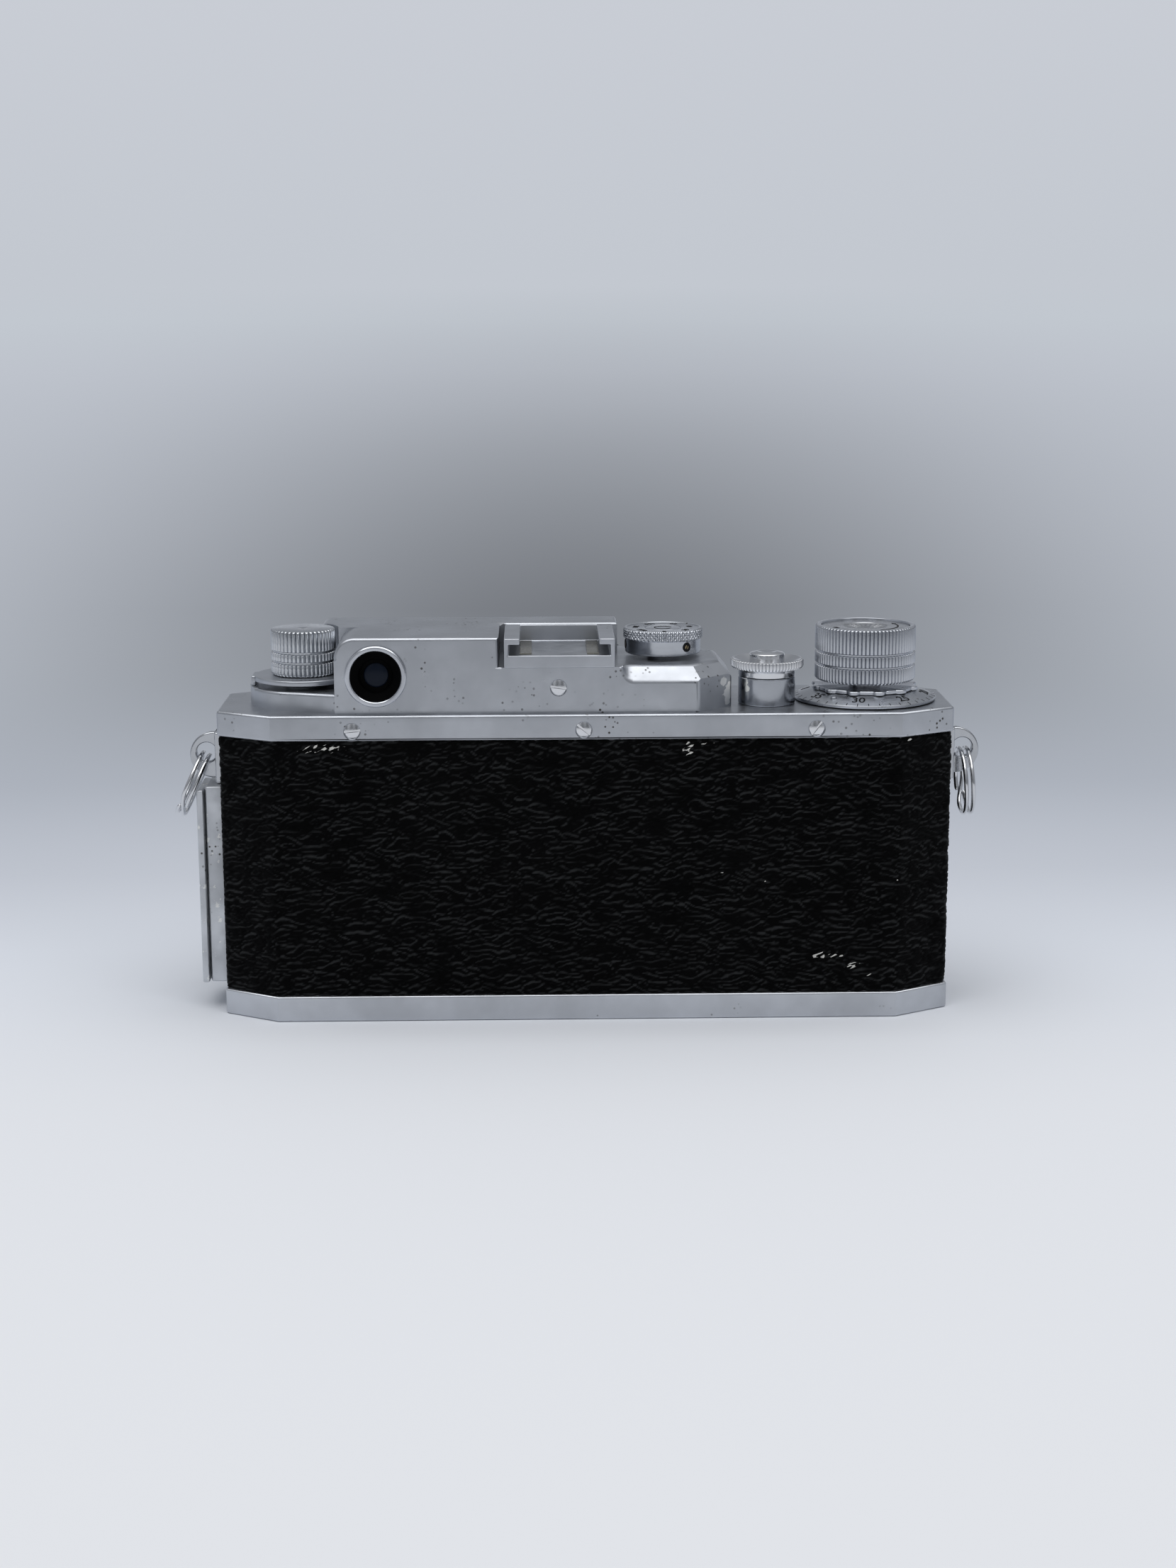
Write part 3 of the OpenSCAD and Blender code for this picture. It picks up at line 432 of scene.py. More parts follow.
def placed(part, x_dir, y_dir, at):
    """A part drawn on local x, y and z, set down at a point with its x and y along two directions."""
    verts, faces = part
    x_dir, y_dir = np.asarray(x_dir, float), np.asarray(y_dir, float)
    axes = np.stack([x_dir, y_dir, np.cross(x_dir, y_dir)])
    return np.asarray(verts, float) @ axes + np.asarray(at, float), faces


def prism(outline, z0, z1):
    """Closed prism from a 2-D outline."""
    outline = np.asarray(outline, float)
    n = len(outline)
    low = np.column_stack([outline, np.full(n, z0)])
    high = np.column_stack([outline, np.full(n, z1)])
    sides = [[i, (i + 1) % n, (i + 1) % n + n, i + n] for i in range(n)]
    return np.concatenate([low, high]), sides + [list(range(n))[::-1], list(range(n, 2 * n))]


def lettering(text, size, thick=0.03):
    """Digits as a thin solid, centred on the origin."""
    curve = bpy.data.curves.new("digits", "FONT")
    curve.body, curve.size, curve.extrude, curve.offset = text, size, thick / 2, size * 0.01
    curve.align_x, curve.align_y = "CENTER", "CENTER"
    curve.resolution_u = 3
    holder = bpy.data.objects.new("digits", curve)
    mesh = bpy.data.meshes.new_from_object(holder)
    verts = np.array([v.co for v in mesh.vertices], float).reshape(-1, 3)
    faces = [list(p.vertices) for p in mesh.polygons]
    bpy.data.objects.remove(holder)
    bpy.data.curves.remove(curve)
    bpy.data.meshes.remove(mesh)
    return verts, faces


# ---- covering ----
CORNER_X, CORNER_Y = 10.5, 6.0
TUCKED = 0.58
STEP_ALONG, STEP_UP = 0.36, 0.22


def perlin(u, v, seed):
    """Smooth gradient noise, about -0.7 to 0.7, from a seeded table."""
    rng = np.random.default_rng(seed)
    size = 512
    table, angle = rng.permutation(size), rng.random(size) * TAU
    iu, iv = np.floor(u).astype(int), np.floor(v).astype(int)
    fu, fv = u - iu, v - iv

    def corner(du, dv):
        pick = table[(table[(iu + du) % size] + iv + dv) % size]
        return np.cos(angle[pick]) * (fu - du) + np.sin(angle[pick]) * (fv - dv)

    su, sv = fu * fu * (3 - 2 * fu), fv * fv * (3 - 2 * fv)
    low = corner(0, 0) * (1 - su) + corner(1, 0) * su
    high = corner(0, 1) * (1 - su) + corner(1, 1) * su
    return low * (1 - sv) + high * sv


def wrinkles(s, z):
    """Depth below the surface, in mm: long shallow creases with finer ones between."""
    us = s / 2.7 + 0.9 * perlin(s / 6, z / 3.4, 11)
    vz = z / 1.0 + 0.9 * perlin(s / 3.6, z / 2.6, 12) + 0.35 * np.sin(s / 9)
    long_fold = np.abs(perlin(us, vz, 13))
    short_fold = np.abs(perlin(s / 1.3 + 3, z / 0.62 + vz * 0.2, 14))
    crease = 0.24 * (1 - np.clip(long_fold / 0.2, 0, 1)) ** 1.3
    crease += 0.07 * (1 - np.clip(short_fold / 0.3, 0, 1))
    return crease + 0.04 * (0.5 + perlin(s / 11, z / 8, 15))


def strip_path(low, high, side):
    """Plan path of the covering round the back (side -1) or the front (side 1), evenly spaced."""
    x, y = high[0], max(abs(low[1]), abs(high[1]))
    half_path = [(x - CORNER_X, -y), (x, -y + CORNER_Y), (x, 0)]
    corners = [(-a, b) for a, b in half_path[::-1]] + half_path
    bent = fillet([(a, b, 1.8) for a, b in corners], closed=False, steps=6)
    if side > 0:
        bent = -bent
    run = np.concatenate([[0], np.cumsum(np.linalg.norm(np.diff(bent, axis=0), axis=1))])
    s = np.linspace(0, run[-1], int(run[-1] / STEP_ALONG) + 1)
    path = np.column_stack([np.interp(s, run, bent[:, 0]), np.interp(s, run, bent[:, 1])])
    tangent = np.gradient(path, axis=0)
    tangent /= np.linalg.norm(tangent, axis=1)[:, None]
    return s, path, np.column_stack([tangent[:, 1], -tangent[:, 0]])


# Flaked places on the back: x, height, half width, half height, share of the area flaked
REAR_CHIPS = [
    (-48.5, 52.4, 4.6, 1.0, 0.62), (-52.4, 51.9, 1.2, 0.5, 0.6), (18.6, 51.9, 1.3, 1.5, 0.62),
    (21.4, 52.9, 2.6, 0.35, 0.6), (59.9, 53.1, 0.7, 0.4, 0.9), (43.6, 12.2, 2.6, 0.9, 0.5),
    (46.6, 12.0, 1.8, 0.6, 0.5), (49.6, 10.1, 2.4, 0.9, 0.55), (52.9, 8.2, 1.2, 0.4, 0.6),
    (25.1, 28.3, 0.25, 0.2, 1.0), (33.2, 26.8, 0.2, 0.35, 1.0), (58.0, 26.6, 0.4, 0.25, 1.0),
    (-45.2, 47.4, 0.2, 0.2, 1.0), (-37.6, 45.6, 0.2, 0.2, 1.0), (-15.6, 51.0, 0.2, 0.25, 1.0),
    (-2.6, 26.5, 0.25, 0.5, 0.7), (-1.2, 20.2, 0.2, 0.35, 0.8),
]


def covering(name, node, side, chips, holes):
    low, high = box(node)
    s, path, outward = strip_path(low, high, side)
    z = np.linspace(low[2], high[2], int((high[2] - low[2]) / STEP_UP) + 1)
    ss, zz = np.meshgrid(s, z)
    depth = 0.1 + wrinkles(ss + (500 if side > 0 else 0), zz)
    # painted glint: the mask below lightens the upward-facing lips under the creases, where overhead
    # light would catch; the noise breaks it into patches
    scuff_and_glint_mask = np.clip(0.72 + 1.5 * perlin(ss / 5, zz / 3, 22) + 0.5 * perlin(ss / 1.2, zz / 0.9, 23), 0, 1)
    painted_glint = np.clip((np.gradient(depth, z, axis=0) - 0.07) / 0.3, 0, 1) * scuff_and_glint_mask
    to_edge = np.minimum(zz - low[2], high[2] - zz)
    depth += 0.3 * (1 - np.clip(to_edge / 0.5, 0, 1)) ** 2
    px = np.broadcast_to(path[:, 0], ss.shape)
    chip = np.zeros(ss.shape)
    ragged = 0.46 + 1.25 * perlin((ss + 0.9 * zz) / 1.3, (zz - 0.45 * ss) / 0.34, 21)
    for x, height, half_x, half_z, share in chips:
        away = np.hypot((px - x) / half_x, (zz - height) / half_z)
        flaked = ragged * (1 - 0.5 * away ** 2) * (0.55 + 0.45 * share)
        chip = np.maximum(chip, np.where(away < 1, flaked, 0))
    rows = [np.full(s.shape, low[2]), *zz, np.full(s.shape, high[2])]
    depths = [np.full(s.shape, TUCKED), *depth, np.full(s.shape, TUCKED)]
    zz, depth = np.array(rows), np.array(depths)
    chip, painted_glint = np.pad(chip, ((1, 1), (0, 0))), np.pad(painted_glint, ((1, 1), (0, 0)))
    verts = np.stack([path[:, 0] - outward[:, 0] * depth, path[:, 1] - outward[:, 1] * depth, zz], -1)
    quads = grid_quads(*zz.shape)
    flat = verts.reshape(-1, 3)
    keep = np.ones(len(quads), bool)
    for x, height, radius in holes:
        inside = np.hypot(flat[:, 0] - x, flat[:, 2] - height) < radius
        keep &= ~inside[quads].all(axis=1)
    made = build(name, flat, quads[keep], "covering", tidy=False, smooth=False)
    mesh = made.data
    for label, field in (("chip", chip), ("painted_glint", painted_glint)):
        values = mesh.attributes.new(label, "FLOAT", "POINT")
        values.data.foreach_set("value", field.reshape(-1).astype(np.float32))
    if holes:
        work = bmesh.new()
        work.from_mesh(mesh)
        loose = [v for v in work.verts if not v.link_faces]
        bmesh.ops.delete(work, geom=loose, context="VERTS")
        work.to_mesh(mesh)
        work.free()
    shade_smooth(mesh)
    return finish_piece(made, "camera", "covering", node)


# ---- knobs and dials ----
KNOB_BORE, BORE_END = 2.45, 70.5


def fluted_knob(node, count, depth, grooves, rim_fillet, recess=None):
    """A knob with grooves (heights) between bands of flutes; recess is its radius and depth."""
    x, y, _ = middle(node)
    r = half(node)[0]
    z0, z1 = span(node, 2)
    side = [(KNOB_BORE, z0, 0), (r - 0.35, z0, 0.12), (r, z0 + 0.35, 0.15)]
    for g in grooves:
        side += [(r, g - 0.3, 0.08), (r - 0.42, g - 0.12, 0.05)]
        side += [(r - 0.42, g + 0.12, 0.05), (r, g + 0.3, 0.08)]
    side += [(r, z1, rim_fillet)]
    if recess:
        inner, deep = recess
        side += [(inner, z1, 0.12), (inner, z1 - deep, 0.1), (KNOB_BORE, z1 - deep, 0)]
    else:
        side += [(0.9, z1 - 0.02, 0.3), (0.001, z1 - 0.12, 0)]
        side = [(0.001, BORE_END, 0), (KNOB_BORE, BORE_END, 0)] + side
    profile = fillet(side, closed=bool(recess))
    return revolve(profile, (x, y, 0), around=count * 8, shape=flutes(count, depth, r - 0.3))


INK_HALF = 0.015


def ring_of_digits(texts, size, radius, centre, z, first, step):
    """Digits round a dial, their feet towards the rim; angles in degrees."""
    parts = []
    for i, text in enumerate(texts):
        a = math.radians(first + i * step)
        out = np.array((math.cos(a), math.sin(a), 0))
        at = (centre[0] + out[0] * radius, centre[1] + out[1] * radius, z)
        parts.append(placed(lettering(text, size), np.cross(-out, (0, 0, 1)), -out, at))
    return parts


def arc_mark(radius, width, start, end, centre, z, head=0.0):
    """Thin curved line with an arrow head at its end, as a closed prism."""
    angles = np.radians(np.linspace(start, end, 28))
    outer = [((radius + width / 2) * math.cos(a), (radius + width / 2) * math.sin(a)) for a in angles]
    inner = [((radius - width / 2) * math.cos(a), (radius - width / 2) * math.sin(a)) for a in angles]
    parts = [prism(outer + inner[::-1], -INK_HALF, INK_HALF)]
    if head:
        a = angles[-1]
        way = 1 if end > start else -1
        out = np.array((math.cos(a), math.sin(a)))
        along = way * np.array((-math.sin(a), math.cos(a)))
        tip = out * radius + along * head * 1.3
        barb = head * 0.6
        parts.append(prism([out * (radius - barb), tip, out * (radius + barb)], -INK_HALF, INK_HALF))
    return [placed(p, (1, 0, 0), (0, 1, 0), (centre[0], centre[1], z)) for p in parts]


def screw_head(radius, slot, deep, dome, base):
    """Domed head with a straight slot along local x; its top faces local +z at height 0."""
    parts = []
    across, deep_rows = 15, 10
    for way in (-1, 1):
        rows = np.linspace(slot / 2, radius * 0.995, deep_rows)
        reach = np.sqrt(np.maximum(radius ** 2 - rows ** 2, 1e-6))
        u = np.linspace(-1, 1, across)[None, :] * reach[:, None]
        v = np.repeat(rows[:, None], across, 1) * way
        h = -dome * np.clip(np.hypot(u, v) / radius, 0, 1) ** 2.2
        top = np.stack([u, v, h], -1).reshape(-1, 3)
        quads = grid_quads(len(rows), across).tolist()
        last = across * (deep_rows - 1)
        border = list(range(across)) + [across * k + across - 1 for k in range(1, deep_rows)]
        border += [last + k for k in range(across - 2, -1, -1)]
        border += [across * k for k in range(deep_rows - 2, 0, -1)]
        n = len(top)
        skirt = top[border] * (1, 1, 0) + (0, 0, -base)
        m = len(border)
        quads += [[border[i], border[(i + 1) % m], n + (i + 1) % m, n + i] for i in range(m)]
        quads.append([n + i for i in range(m)])
        parts.append((np.concatenate([top, skirt]), quads))
    reach = math.sqrt(radius ** 2 - (slot / 2) ** 2)
    wall = slot / 2
    parts.append(prism([(-reach, -wall), (reach, -wall), (reach, wall), (-reach, wall)], -base, -deep))
    return joined(*parts)


# ---- CAD nodes that stay ----
def bare(mesh, look):
    """Drops a CAD mesh's own normals and material, and gives it a look."""
    custom = mesh.attributes.get("custom_normal")
    if custom:
        mesh.attributes.remove(custom)
    mesh.materials.clear()
    mesh.materials.append(look)
    shade_smooth(mesh)


def even_normals(made, keep_sharp):
    tone = made.modifiers.new("tone", "WEIGHTED_NORMAL")
    tone.keep_sharp = keep_sharp


def dress(node, width, look=None):
    """Rounds a CAD node's edges with modifiers and gives it its material."""
    o = NODES[node]
    bare(o.data, look or MATERIALS[SLOT_OF[node]])
    weld = o.modifiers.new("weld", "WELD")
    weld.merge_threshold = 2e-6
    if width:
        flat = o.modifiers.new("flat", "DECIMATE")
        flat.decimate_type, flat.angle_limit = "DISSOLVE", math.radians(0.6)
        if node in PIERCED:
            split = o.modifiers.new("split", "TRIANGULATE")
            split.min_vertices = 5
        edge = o.modifiers.new("edge", "BEVEL")
        edge.width, edge.segments = width * MM, 3
        edge.limit_method, edge.angle_limit = "ANGLE", math.radians(25)
        edge.use_clamp_overlap = False
    even_normals(o, False)


def outlined(high, x, y):
    """Whether a point is on the chamfered outline that the plates share."""
    x, y = abs(x), abs(y)
    cut = (x - high[0]) * CORNER_Y + (y - high[1] + CORNER_Y) * CORNER_X
    cut /= math.hypot(CORNER_X, CORNER_Y)
    return max(x - high[0], y - high[1], cut) > -0.06


def plate_edge(low, high):
    """Picks a plate's top and bottom outlines and its upright corners."""
    def wanted(a, b):
        middle_z = (a.z + b.z) / 2
        upright = abs(b.z - a.z) > 2
        level = abs(a.z - b.z) < 0.01 and min(abs(middle_z - low[2]), abs(middle_z - high[2])) < 0.05
        return (upright or level) and outlined(high, a.x, a.y) and outlined(high, b.x, b.y)
    return wanted


HOUSE_SCREW = (-5.2, 63.2)
HOUSE_LEVELS = (67.0, 62.0)


def housing_edge(low, high):
    """Picks the housing's outside edges, not its windows, holes and inside."""
    holes = ((*middle("eyepiece_bezel")[::2], 6.2), (*middle("finder_window")[::2], 8.2),
             (*middle("rangefinder_window")[::2], 3.8), (*HOUSE_SCREW, 2.2))
    knob_x, dial_x = middle("rewind_knob")[0], middle("speed_dial")[0]

    def wanted(a, b):
        x, y, z = (a + b) / 2
        if abs(y) > high[1] - 1 and any(math.hypot(x - u, z - w) < r for u, w, r in holes):
            return False
        if z < low[2] + 0.2 or (abs(y) < 4.9 and x < 8) or (abs(z - HOUSE_LEVELS[0]) < 0.1 and x < 6.8):
            return False
        if math.hypot(x - knob_x, y) < 8 or math.hypot(x - dial_x, y) < 4:
            return False
        on_top = min(abs(z - level) for level in (high[2], *HOUSE_LEVELS)) < 0.05
        return abs(y) > high[1] - 0.1 or x > 24.5 or on_top
    return wanted


def rounded(node, width, wanted, look):
    """A copy of a CAD node whose chosen outside edges are rounded off."""
    mesh = bpy.data.meshes.new(node + "_rounded")
    work = bmesh.new()
    work.from_mesh(NODES[node].data)
    bmesh.ops.remove_doubles(work, verts=work.verts, dist=2e-6)
    bmesh.ops.recalc_face_normals(work, faces=work.faces)
    bmesh.ops.dissolve_limit(work, angle_limit=math.radians(0.5), verts=work.verts, edges=work.edges)
    bmesh.ops.triangulate(work, faces=[f for f in work.faces if len(f.verts) > 4])
    edges = [
        e for e in work.edges
        if e.is_manifold and e.is_convex and e.calc_face_angle() > math.radians(38)
        and wanted(e.verts[0].co / MM, e.verts[1].co / MM)
    ]
    bmesh.ops.bevel(
        work, geom=edges, offset=width * MM, offset_type="OFFSET", segments=4, profile=0.5,
        affect="EDGES", clamp_overlap=False,
    )
    work.to_mesh(mesh)
    work.free()
    bare(mesh, look)
    mesh.set_sharp_from_angle(angle=math.radians(25))
    made = placed_object(mesh.name, mesh)
    even_normals(made, True)
    return made


# Edge radii in mm; a node that is not listed keeps its sharp edges
BEVELS = {
    "accessory_shoe": 0.22, "flash_rail": 0.3, "strap_lug_left": 0.3, "strap_lug_right": 0.3,
    "release_tower": 0.25, "slow_dial_boss": 0.2, "finder_lever": 0.22, "base_key": 0.15,
    "lens_flange": 0.07, "flash_contacts": 0.08, "lens_barrel": 0.2, "infinity_catch": 0.25,
    "rewind_shaft": 0.15, "speed_spindle": 0.15, "film_gate": 0.1, "pressure_plate": 0.15,
    "shutter_crate": 0.1, "mechanism_plate": 0.1, "lens_head": 0.25,
}
# Plates whose face is a narrow ring with holes in it
PIERCED = {"lens_flange"}
LOOKS = {"flash_rail": SCUFFED, "release_tower": WORN, "strap_lug_left": LUG, "strap_lug_right": LUG}


def srgb(*values):
    """A colour from 8-bit display values."""
    return tuple(((v / 255 + 0.055) / 1.055) ** 2.4 if v > 10 else v / 3294.6 for v in values)


FLOOR_FAR, FLOOR_SPAN = 3.0, 3.3


def floor_stop(y_metres, *colour):
    return (y_metres + FLOOR_SPAN - FLOOR_FAR) / FLOOR_SPAN, srgb(*colour)


def make_floor():
    """Pale floor: near the object its colour darkens towards +y as painted shade; further off it glows
    as a painted backdrop whose tone has a painted dark patch behind the object.
    """
    made, tree, bsdf = material("floor")
    place = shader(tree, "TexCoord").outputs["Object"]
    axes = shader(tree, "SeparateXYZ", {"Vector": place})
    y = axes.outputs["Y"]
    reach = {"From Min": FLOOR_FAR - FLOOR_SPAN, "From Max": FLOOR_FAR}
    along = shader(tree, "MapRange", {"Value": y, **reach})
    # painted shade: the floor's colour darkens from front to back round the object
    near = ramp(tree, along.outputs["Result"], [
        floor_stop(-0.3, 236, 237, 239), floor_stop(-0.06, 234, 236, 240),
        floor_stop(0.03, 224, 228, 235), floor_stop(0.1, 206, 210, 218), floor_stop(0.2, 192, 197, 206),
    ])
    tree.links.new(near, bsdf.inputs["Base Color"])
    bsdf.inputs["Roughness"].default_value = 0.7
    bsdf.inputs["Specular IOR Level"].default_value = 0.1
    depth = math_node(tree, "DIVIDE", y, math_node(tree, "ADD", y, 2.0), clamp=True)
    far = ramp(tree, depth, [(d / (d + 2), srgb(*tone)) for d, tone in (
        (0.2, (180, 186, 195)), (0.7, (181, 186, 195)), (1.2, (183, 188, 197)), (2.1, (187, 192, 201)),
        (3.0, (190, 195, 204)), (6.5, (194, 200, 208)), (20.0, (195, 200, 208)),
    )])
    # painted shade patch: a dark blot behind the object, fading with distance and to the sides
    fade = ramp(tree, depth, [(d / (d + 2), share) for d, share in (
        (0.0, 0.45), (0.55, 0.6), (1.16, 0.39), (2.1, 0.21), (3.0, 0.14), (6.5, 0.06), (20.0, 0.0),
    )])
    away = math_node(tree, "ADD", math_node(tree, "MULTIPLY", y, 0.16), 0.16)
    drift = math_node(tree, "SUBTRACT", axes.outputs["X"], math_node(tree, "MULTIPLY", y, 0.021))
    aside = math_node(tree, "DIVIDE", math_node(tree, "ABSOLUTE", drift), away)
    spread = shader(tree, "MapRange", {"Value": aside, "From Max": 1.35})
    bell = ramp(tree, spread.outputs["Result"], [(0.0, 1.0), (1.0, 0.0)])
    bell.node.color_ramp.interpolation = "EASE"
    painted_dark_patch = math_node(tree, "MULTIPLY", fade, bell)
    tone = math_node(tree, "SUBTRACT", 1.0, painted_dark_patch)
    # the far floor glows: painted backdrop light, darkened by the painted shade patch
    light = shader(tree, "Emission", {"Color": multiply(tree, 1.0, far, tone)})
    share = shader(tree, "MapRange", {"Value": y, "From Min": 0.12, "From Max": 0.42},
                   interpolation_type="SMOOTHSTEP").outputs["Result"]
    both = shader(tree, "MixShader", {"Fac": share, 1: bsdf.outputs[0], 2: light.outputs[0]})
    tree.links.new(both.outputs[0], tree.nodes["Material Output"].inputs["Surface"])
    bpy.ops.mesh.primitive_plane_add(size=90, location=(0, 0, 0))
    floor = bpy.context.object
    floor.name = "floor"
    floor.data.materials.append(made)


def make_world():
    world = bpy.data.worlds.new("studio")
    world.use_nodes = True
    bpy.context.scene.world = world
    tree = world.node_tree
    place = shader(tree, "TexCoord").outputs["Generated"]
    axes = shader(tree, "SeparateXYZ", {"Vector": place})
    ahead = ramp(tree, axes.outputs["Z"], [
        (0.0, srgb(195, 200, 208)), (0.11, srgb(201, 205, 213)), (0.15, (0.27, 0.285, 0.315)),
        (0.5, (0.3, 0.315, 0.34)), (1.0, (0.62, 0.63, 0.65)),
    ])
    behind = ramp(tree, axes.outputs["Z"], [
        (0.0, (0.20, 0.21, 0.225)), (0.4, (0.26, 0.27, 0.29)), (1.0, (0.62, 0.63, 0.65)),
    ])
    across = shader(tree, "MapRange", {"Value": axes.outputs["X"], "From Min": -1.0, "From Max": 1.0})
    bands = ramp(tree, across.outputs["Result"], [
        (0.0, 1.0), (0.08, 1.0), (0.13, 0.25), (0.24, 0.35), (0.27, 1.0), (0.36, 0.95),
        (0.39, 0.4), (0.48, 0.3), (0.52, 0.62), (0.6, 0.7), (0.63, 0.22), (0.72, 0.3),
        (0.76, 1.0), (0.86, 0.95), (0.9, 0.3), (1.0, 0.8),
    ])
    banded = multiply(tree, 0.75, behind, bands)
    banded = multiply(tree, 1.0, banded, (1.7, 1.7, 1.7, 1))
    way = shader(tree, "MapRange", {"Value": axes.outputs["Y"], "From Min": -0.5, "From Max": 0.4})
    colour = mix(tree, way.outputs["Result"], banded, ahead)
    tree.links.new(colour, tree.nodes["Background"].inputs["Color"])
    tree.nodes["Background"].inputs["Strength"].default_value = 1.0
    bpy.context.scene.view_settings.view_transform = "Standard"


def add_softbox(name, at, towards, size, power):
    data = bpy.data.lights.new(name, "AREA")
    data.shape, data.size, data.size_y, data.energy = "RECTANGLE", *size, power
    lamp = bpy.data.objects.new(name, data)
    at, towards = Vector(at), Vector(towards)
    lamp.location = at
    lamp.rotation_mode = "QUATERNION"
    lamp.rotation_quaternion = (towards - at).to_track_quat("-Z", "Y")
    bpy.context.scene.collection.objects.link(lamp)


make_camera()
make_floor()
make_world()
add_softbox("overhead", (0.0, -0.16, 0.75), (0, 0, 0.04), (1.0, 0.68), 3.6)

# Leather
lens_c = middle("lens_flange")
slow_c = middle("slow_dial_boss")
covering("covering_back", "rear_covering", -1, REAR_CHIPS, [])
covering("covering_front", "front_covering", 1, [], [
    (lens_c[0], lens_c[2], half("lens_flange")[0] - 1.2),
    (slow_c[0], slow_c[2], half("slow_dial_boss")[0] - 0.9),
])

# CAD nodes that keep their shape
REPLACED = {
    "rear_covering", "front_covering", "cover_screws", "eyepiece_bezel", "eyepiece_lens",
    "shoe_springs", "rewind_knob", "speed_dial", "speed_dial_screws", "release_button",
    "release_collar", "advance_knob", "film_reminder_disc", "counter_dial", "counter_ring",
    "slow_speed_dial", "focus_ring", "aperture_ring", "split_ring_left", "split_ring_right",
    "flange_screws",
}
ROUNDED = {
    "top_plate": (0.5, plate_edge(*box("top_plate")), PITTED),
    "top_housing": (0.6, housing_edge(*box("top_housing")), CORRODED),
    "base_plate": (0.4, plate_edge(*box("base_plate")), BASE_CHROME),
}
BODY_OF = {"base_plate": "base"}
for node_name, (width, wanted, look) in ROUNDED.items():
    made = rounded(node_name, width, wanted, look)
    finish_piece(made, BODY_OF.get(node_name, "camera"), "satin_chrome", node_name)
for node_name in NODES:
    if node_name not in REPLACED and node_name not in ROUNDED:
        dress(node_name, BEVELS.get(node_name, 0.0), LOOKS.get(node_name))

# Rewind knob
z0, z1 = span("rewind_knob", 2)
TURNED_REWIND = metal("turned_rewind", (0.6, 0.62, 0.65), 0.18, rings=(*middle("rewind_knob")[:2], z1))
part = fluted_knob("rewind_knob", 44, 0.42, (z0 + 2.6, z0 + 4.5), 0.45)
piece("rewind_knob_fluted", part, TURNED_REWIND, "rewind", "satin_chrome", "rewind_knob")

# Advance knob, its disc, and the counter under it
z0, _ = span("advance_knob", 2)
ax, ay, _ = middle("advance_knob")
part = fluted_knob("advance_knob", 78, 0.36, (z0 + 3.05, z0 + 5.5), 0.4, recess=(8.4, 1.2))
piece("advance_knob_fluted", part, KNURLED, "advance", "satin_chrome", "advance_knob")

disc_z, z1 = span("film_reminder_disc", 2)
disc_r = half("film_reminder_disc")[0]


def cup(angle, r, h):
    wave = 0.16 * np.abs(np.sin(angle * 11)) ** 0.7
    zone = np.clip((r - 1.5) / 0.5, 0, 1) * np.clip((3.9 - r) / 0.35, 0, 1)
    return r, h + np.where(h > disc_z + 0.01, wave * zone, 0)


profile = fillet([
    (0.001, disc_z, 0), (disc_r, disc_z, 0.05), (disc_r, z1, 0.12), (4.25, z1, 0.06),
    (4.05, z1 - 0.16, 0.04), (3.9, z1 - 0.08, 0.04), (3.3, z1 - 0.2, 0.1), (2.4, z1 - 0.42, 0.1),
    (1.7, z1 - 0.56, 0.1), (1.3, z1 - 0.3, 0.12), (0.6, z1 - 0.42, 0.1), (0.001, z1 - 0.5, 0),
], closed=False)
TURNED_DISC = metal("turned_disc", (0.5, 0.51, 0.53), 0.22, rings=(ax, ay, z1))
part = revolve(profile, (ax, ay, 0), around=176, shape=cup)
piece("reminder_disc", part, TURNED_DISC, "film_reminder", "satin_chrome", "film_reminder_disc")
marks = arc_mark(6.1, 0.32, -70, 20, (ax, ay), z1 + 0.012, head=0.8)
marks += arc_mark(6.3, 0.7, 196, 208, (ax, ay), z1 + 0.012)
piece("reminder_marks", joined(*marks), INK, "film_reminder", "satin_chrome", smooth=False)

z0, pin_top = span("counter_dial", 2)
counter_r = half("counter_dial")[0]
z1 = span("counter_ring", 2)[1]
rim_z, cone_r, cone_z = z0 + 0.55, 9.9, z1 - 0.8
CONE = math.atan2(cone_z - rim_z, counter_r - cone_r)


def on_cone(angle, radius):
    """Point, outward slope, side direction and normal of the counter's sloped face."""
    out = np.array((math.cos(angle), math.sin(angle), 0))
    up = np.array((0, 0, 1.0))
    point = np.array((ax, ay, rim_z + (counter_r - radius) * math.tan(CONE))) + out * radius
    down_slope = out * math.cos(CONE) - up * math.sin(CONE)
    normal = out * math.sin(CONE) + up * math.cos(CONE)
    return point + normal * 0.012, down_slope, normal


profile = fillet([
    (3.4, z0, 0.05), (counter_r - 0.15, z0, 0.1), (counter_r, rim_z - 0.2, 0.08),
    (counter_r - 0.12, rim_z + 0.05, 0.06), (cone_r, cone_z, 0.05), (3.4, cone_z, 0.05),
])
TURNED_DIAL = metal("turned_dial", CHROME, 0.3, pits=0.03, rings=(ax, ay, cone_z))
parts = [revolve(profile, (ax, ay, 0), around=192)]
pin = [(0.001, rim_z, 0), (0.6, rim_z, 0), (0.6, pin_top, 0.2), (0.001, pin_top, 0)]
pin = fillet(pin, closed=False)
for pin_angle in (-127.6, 52.4):
    x, y, _ = on_cone(math.radians(pin_angle), 11.3)[0]
    parts.append(revolve(pin, (x, y, 0), around=32))
piece("counter_disc", joined(*parts), TURNED_DIAL, "counter", "satin_chrome", "counter_dial")
parts = []
ZERO_MARK = -102.9
for i, text in enumerate(("35", "30", "25", "20", "15", "10", "5", "0")):
    point, down_slope, normal = on_cone(math.radians(ZERO_MARK - 45 + i * 45), 11.35)
    parts.append(placed(lettering(text, 2.6), np.cross(-down_slope, normal), -down_slope, point))
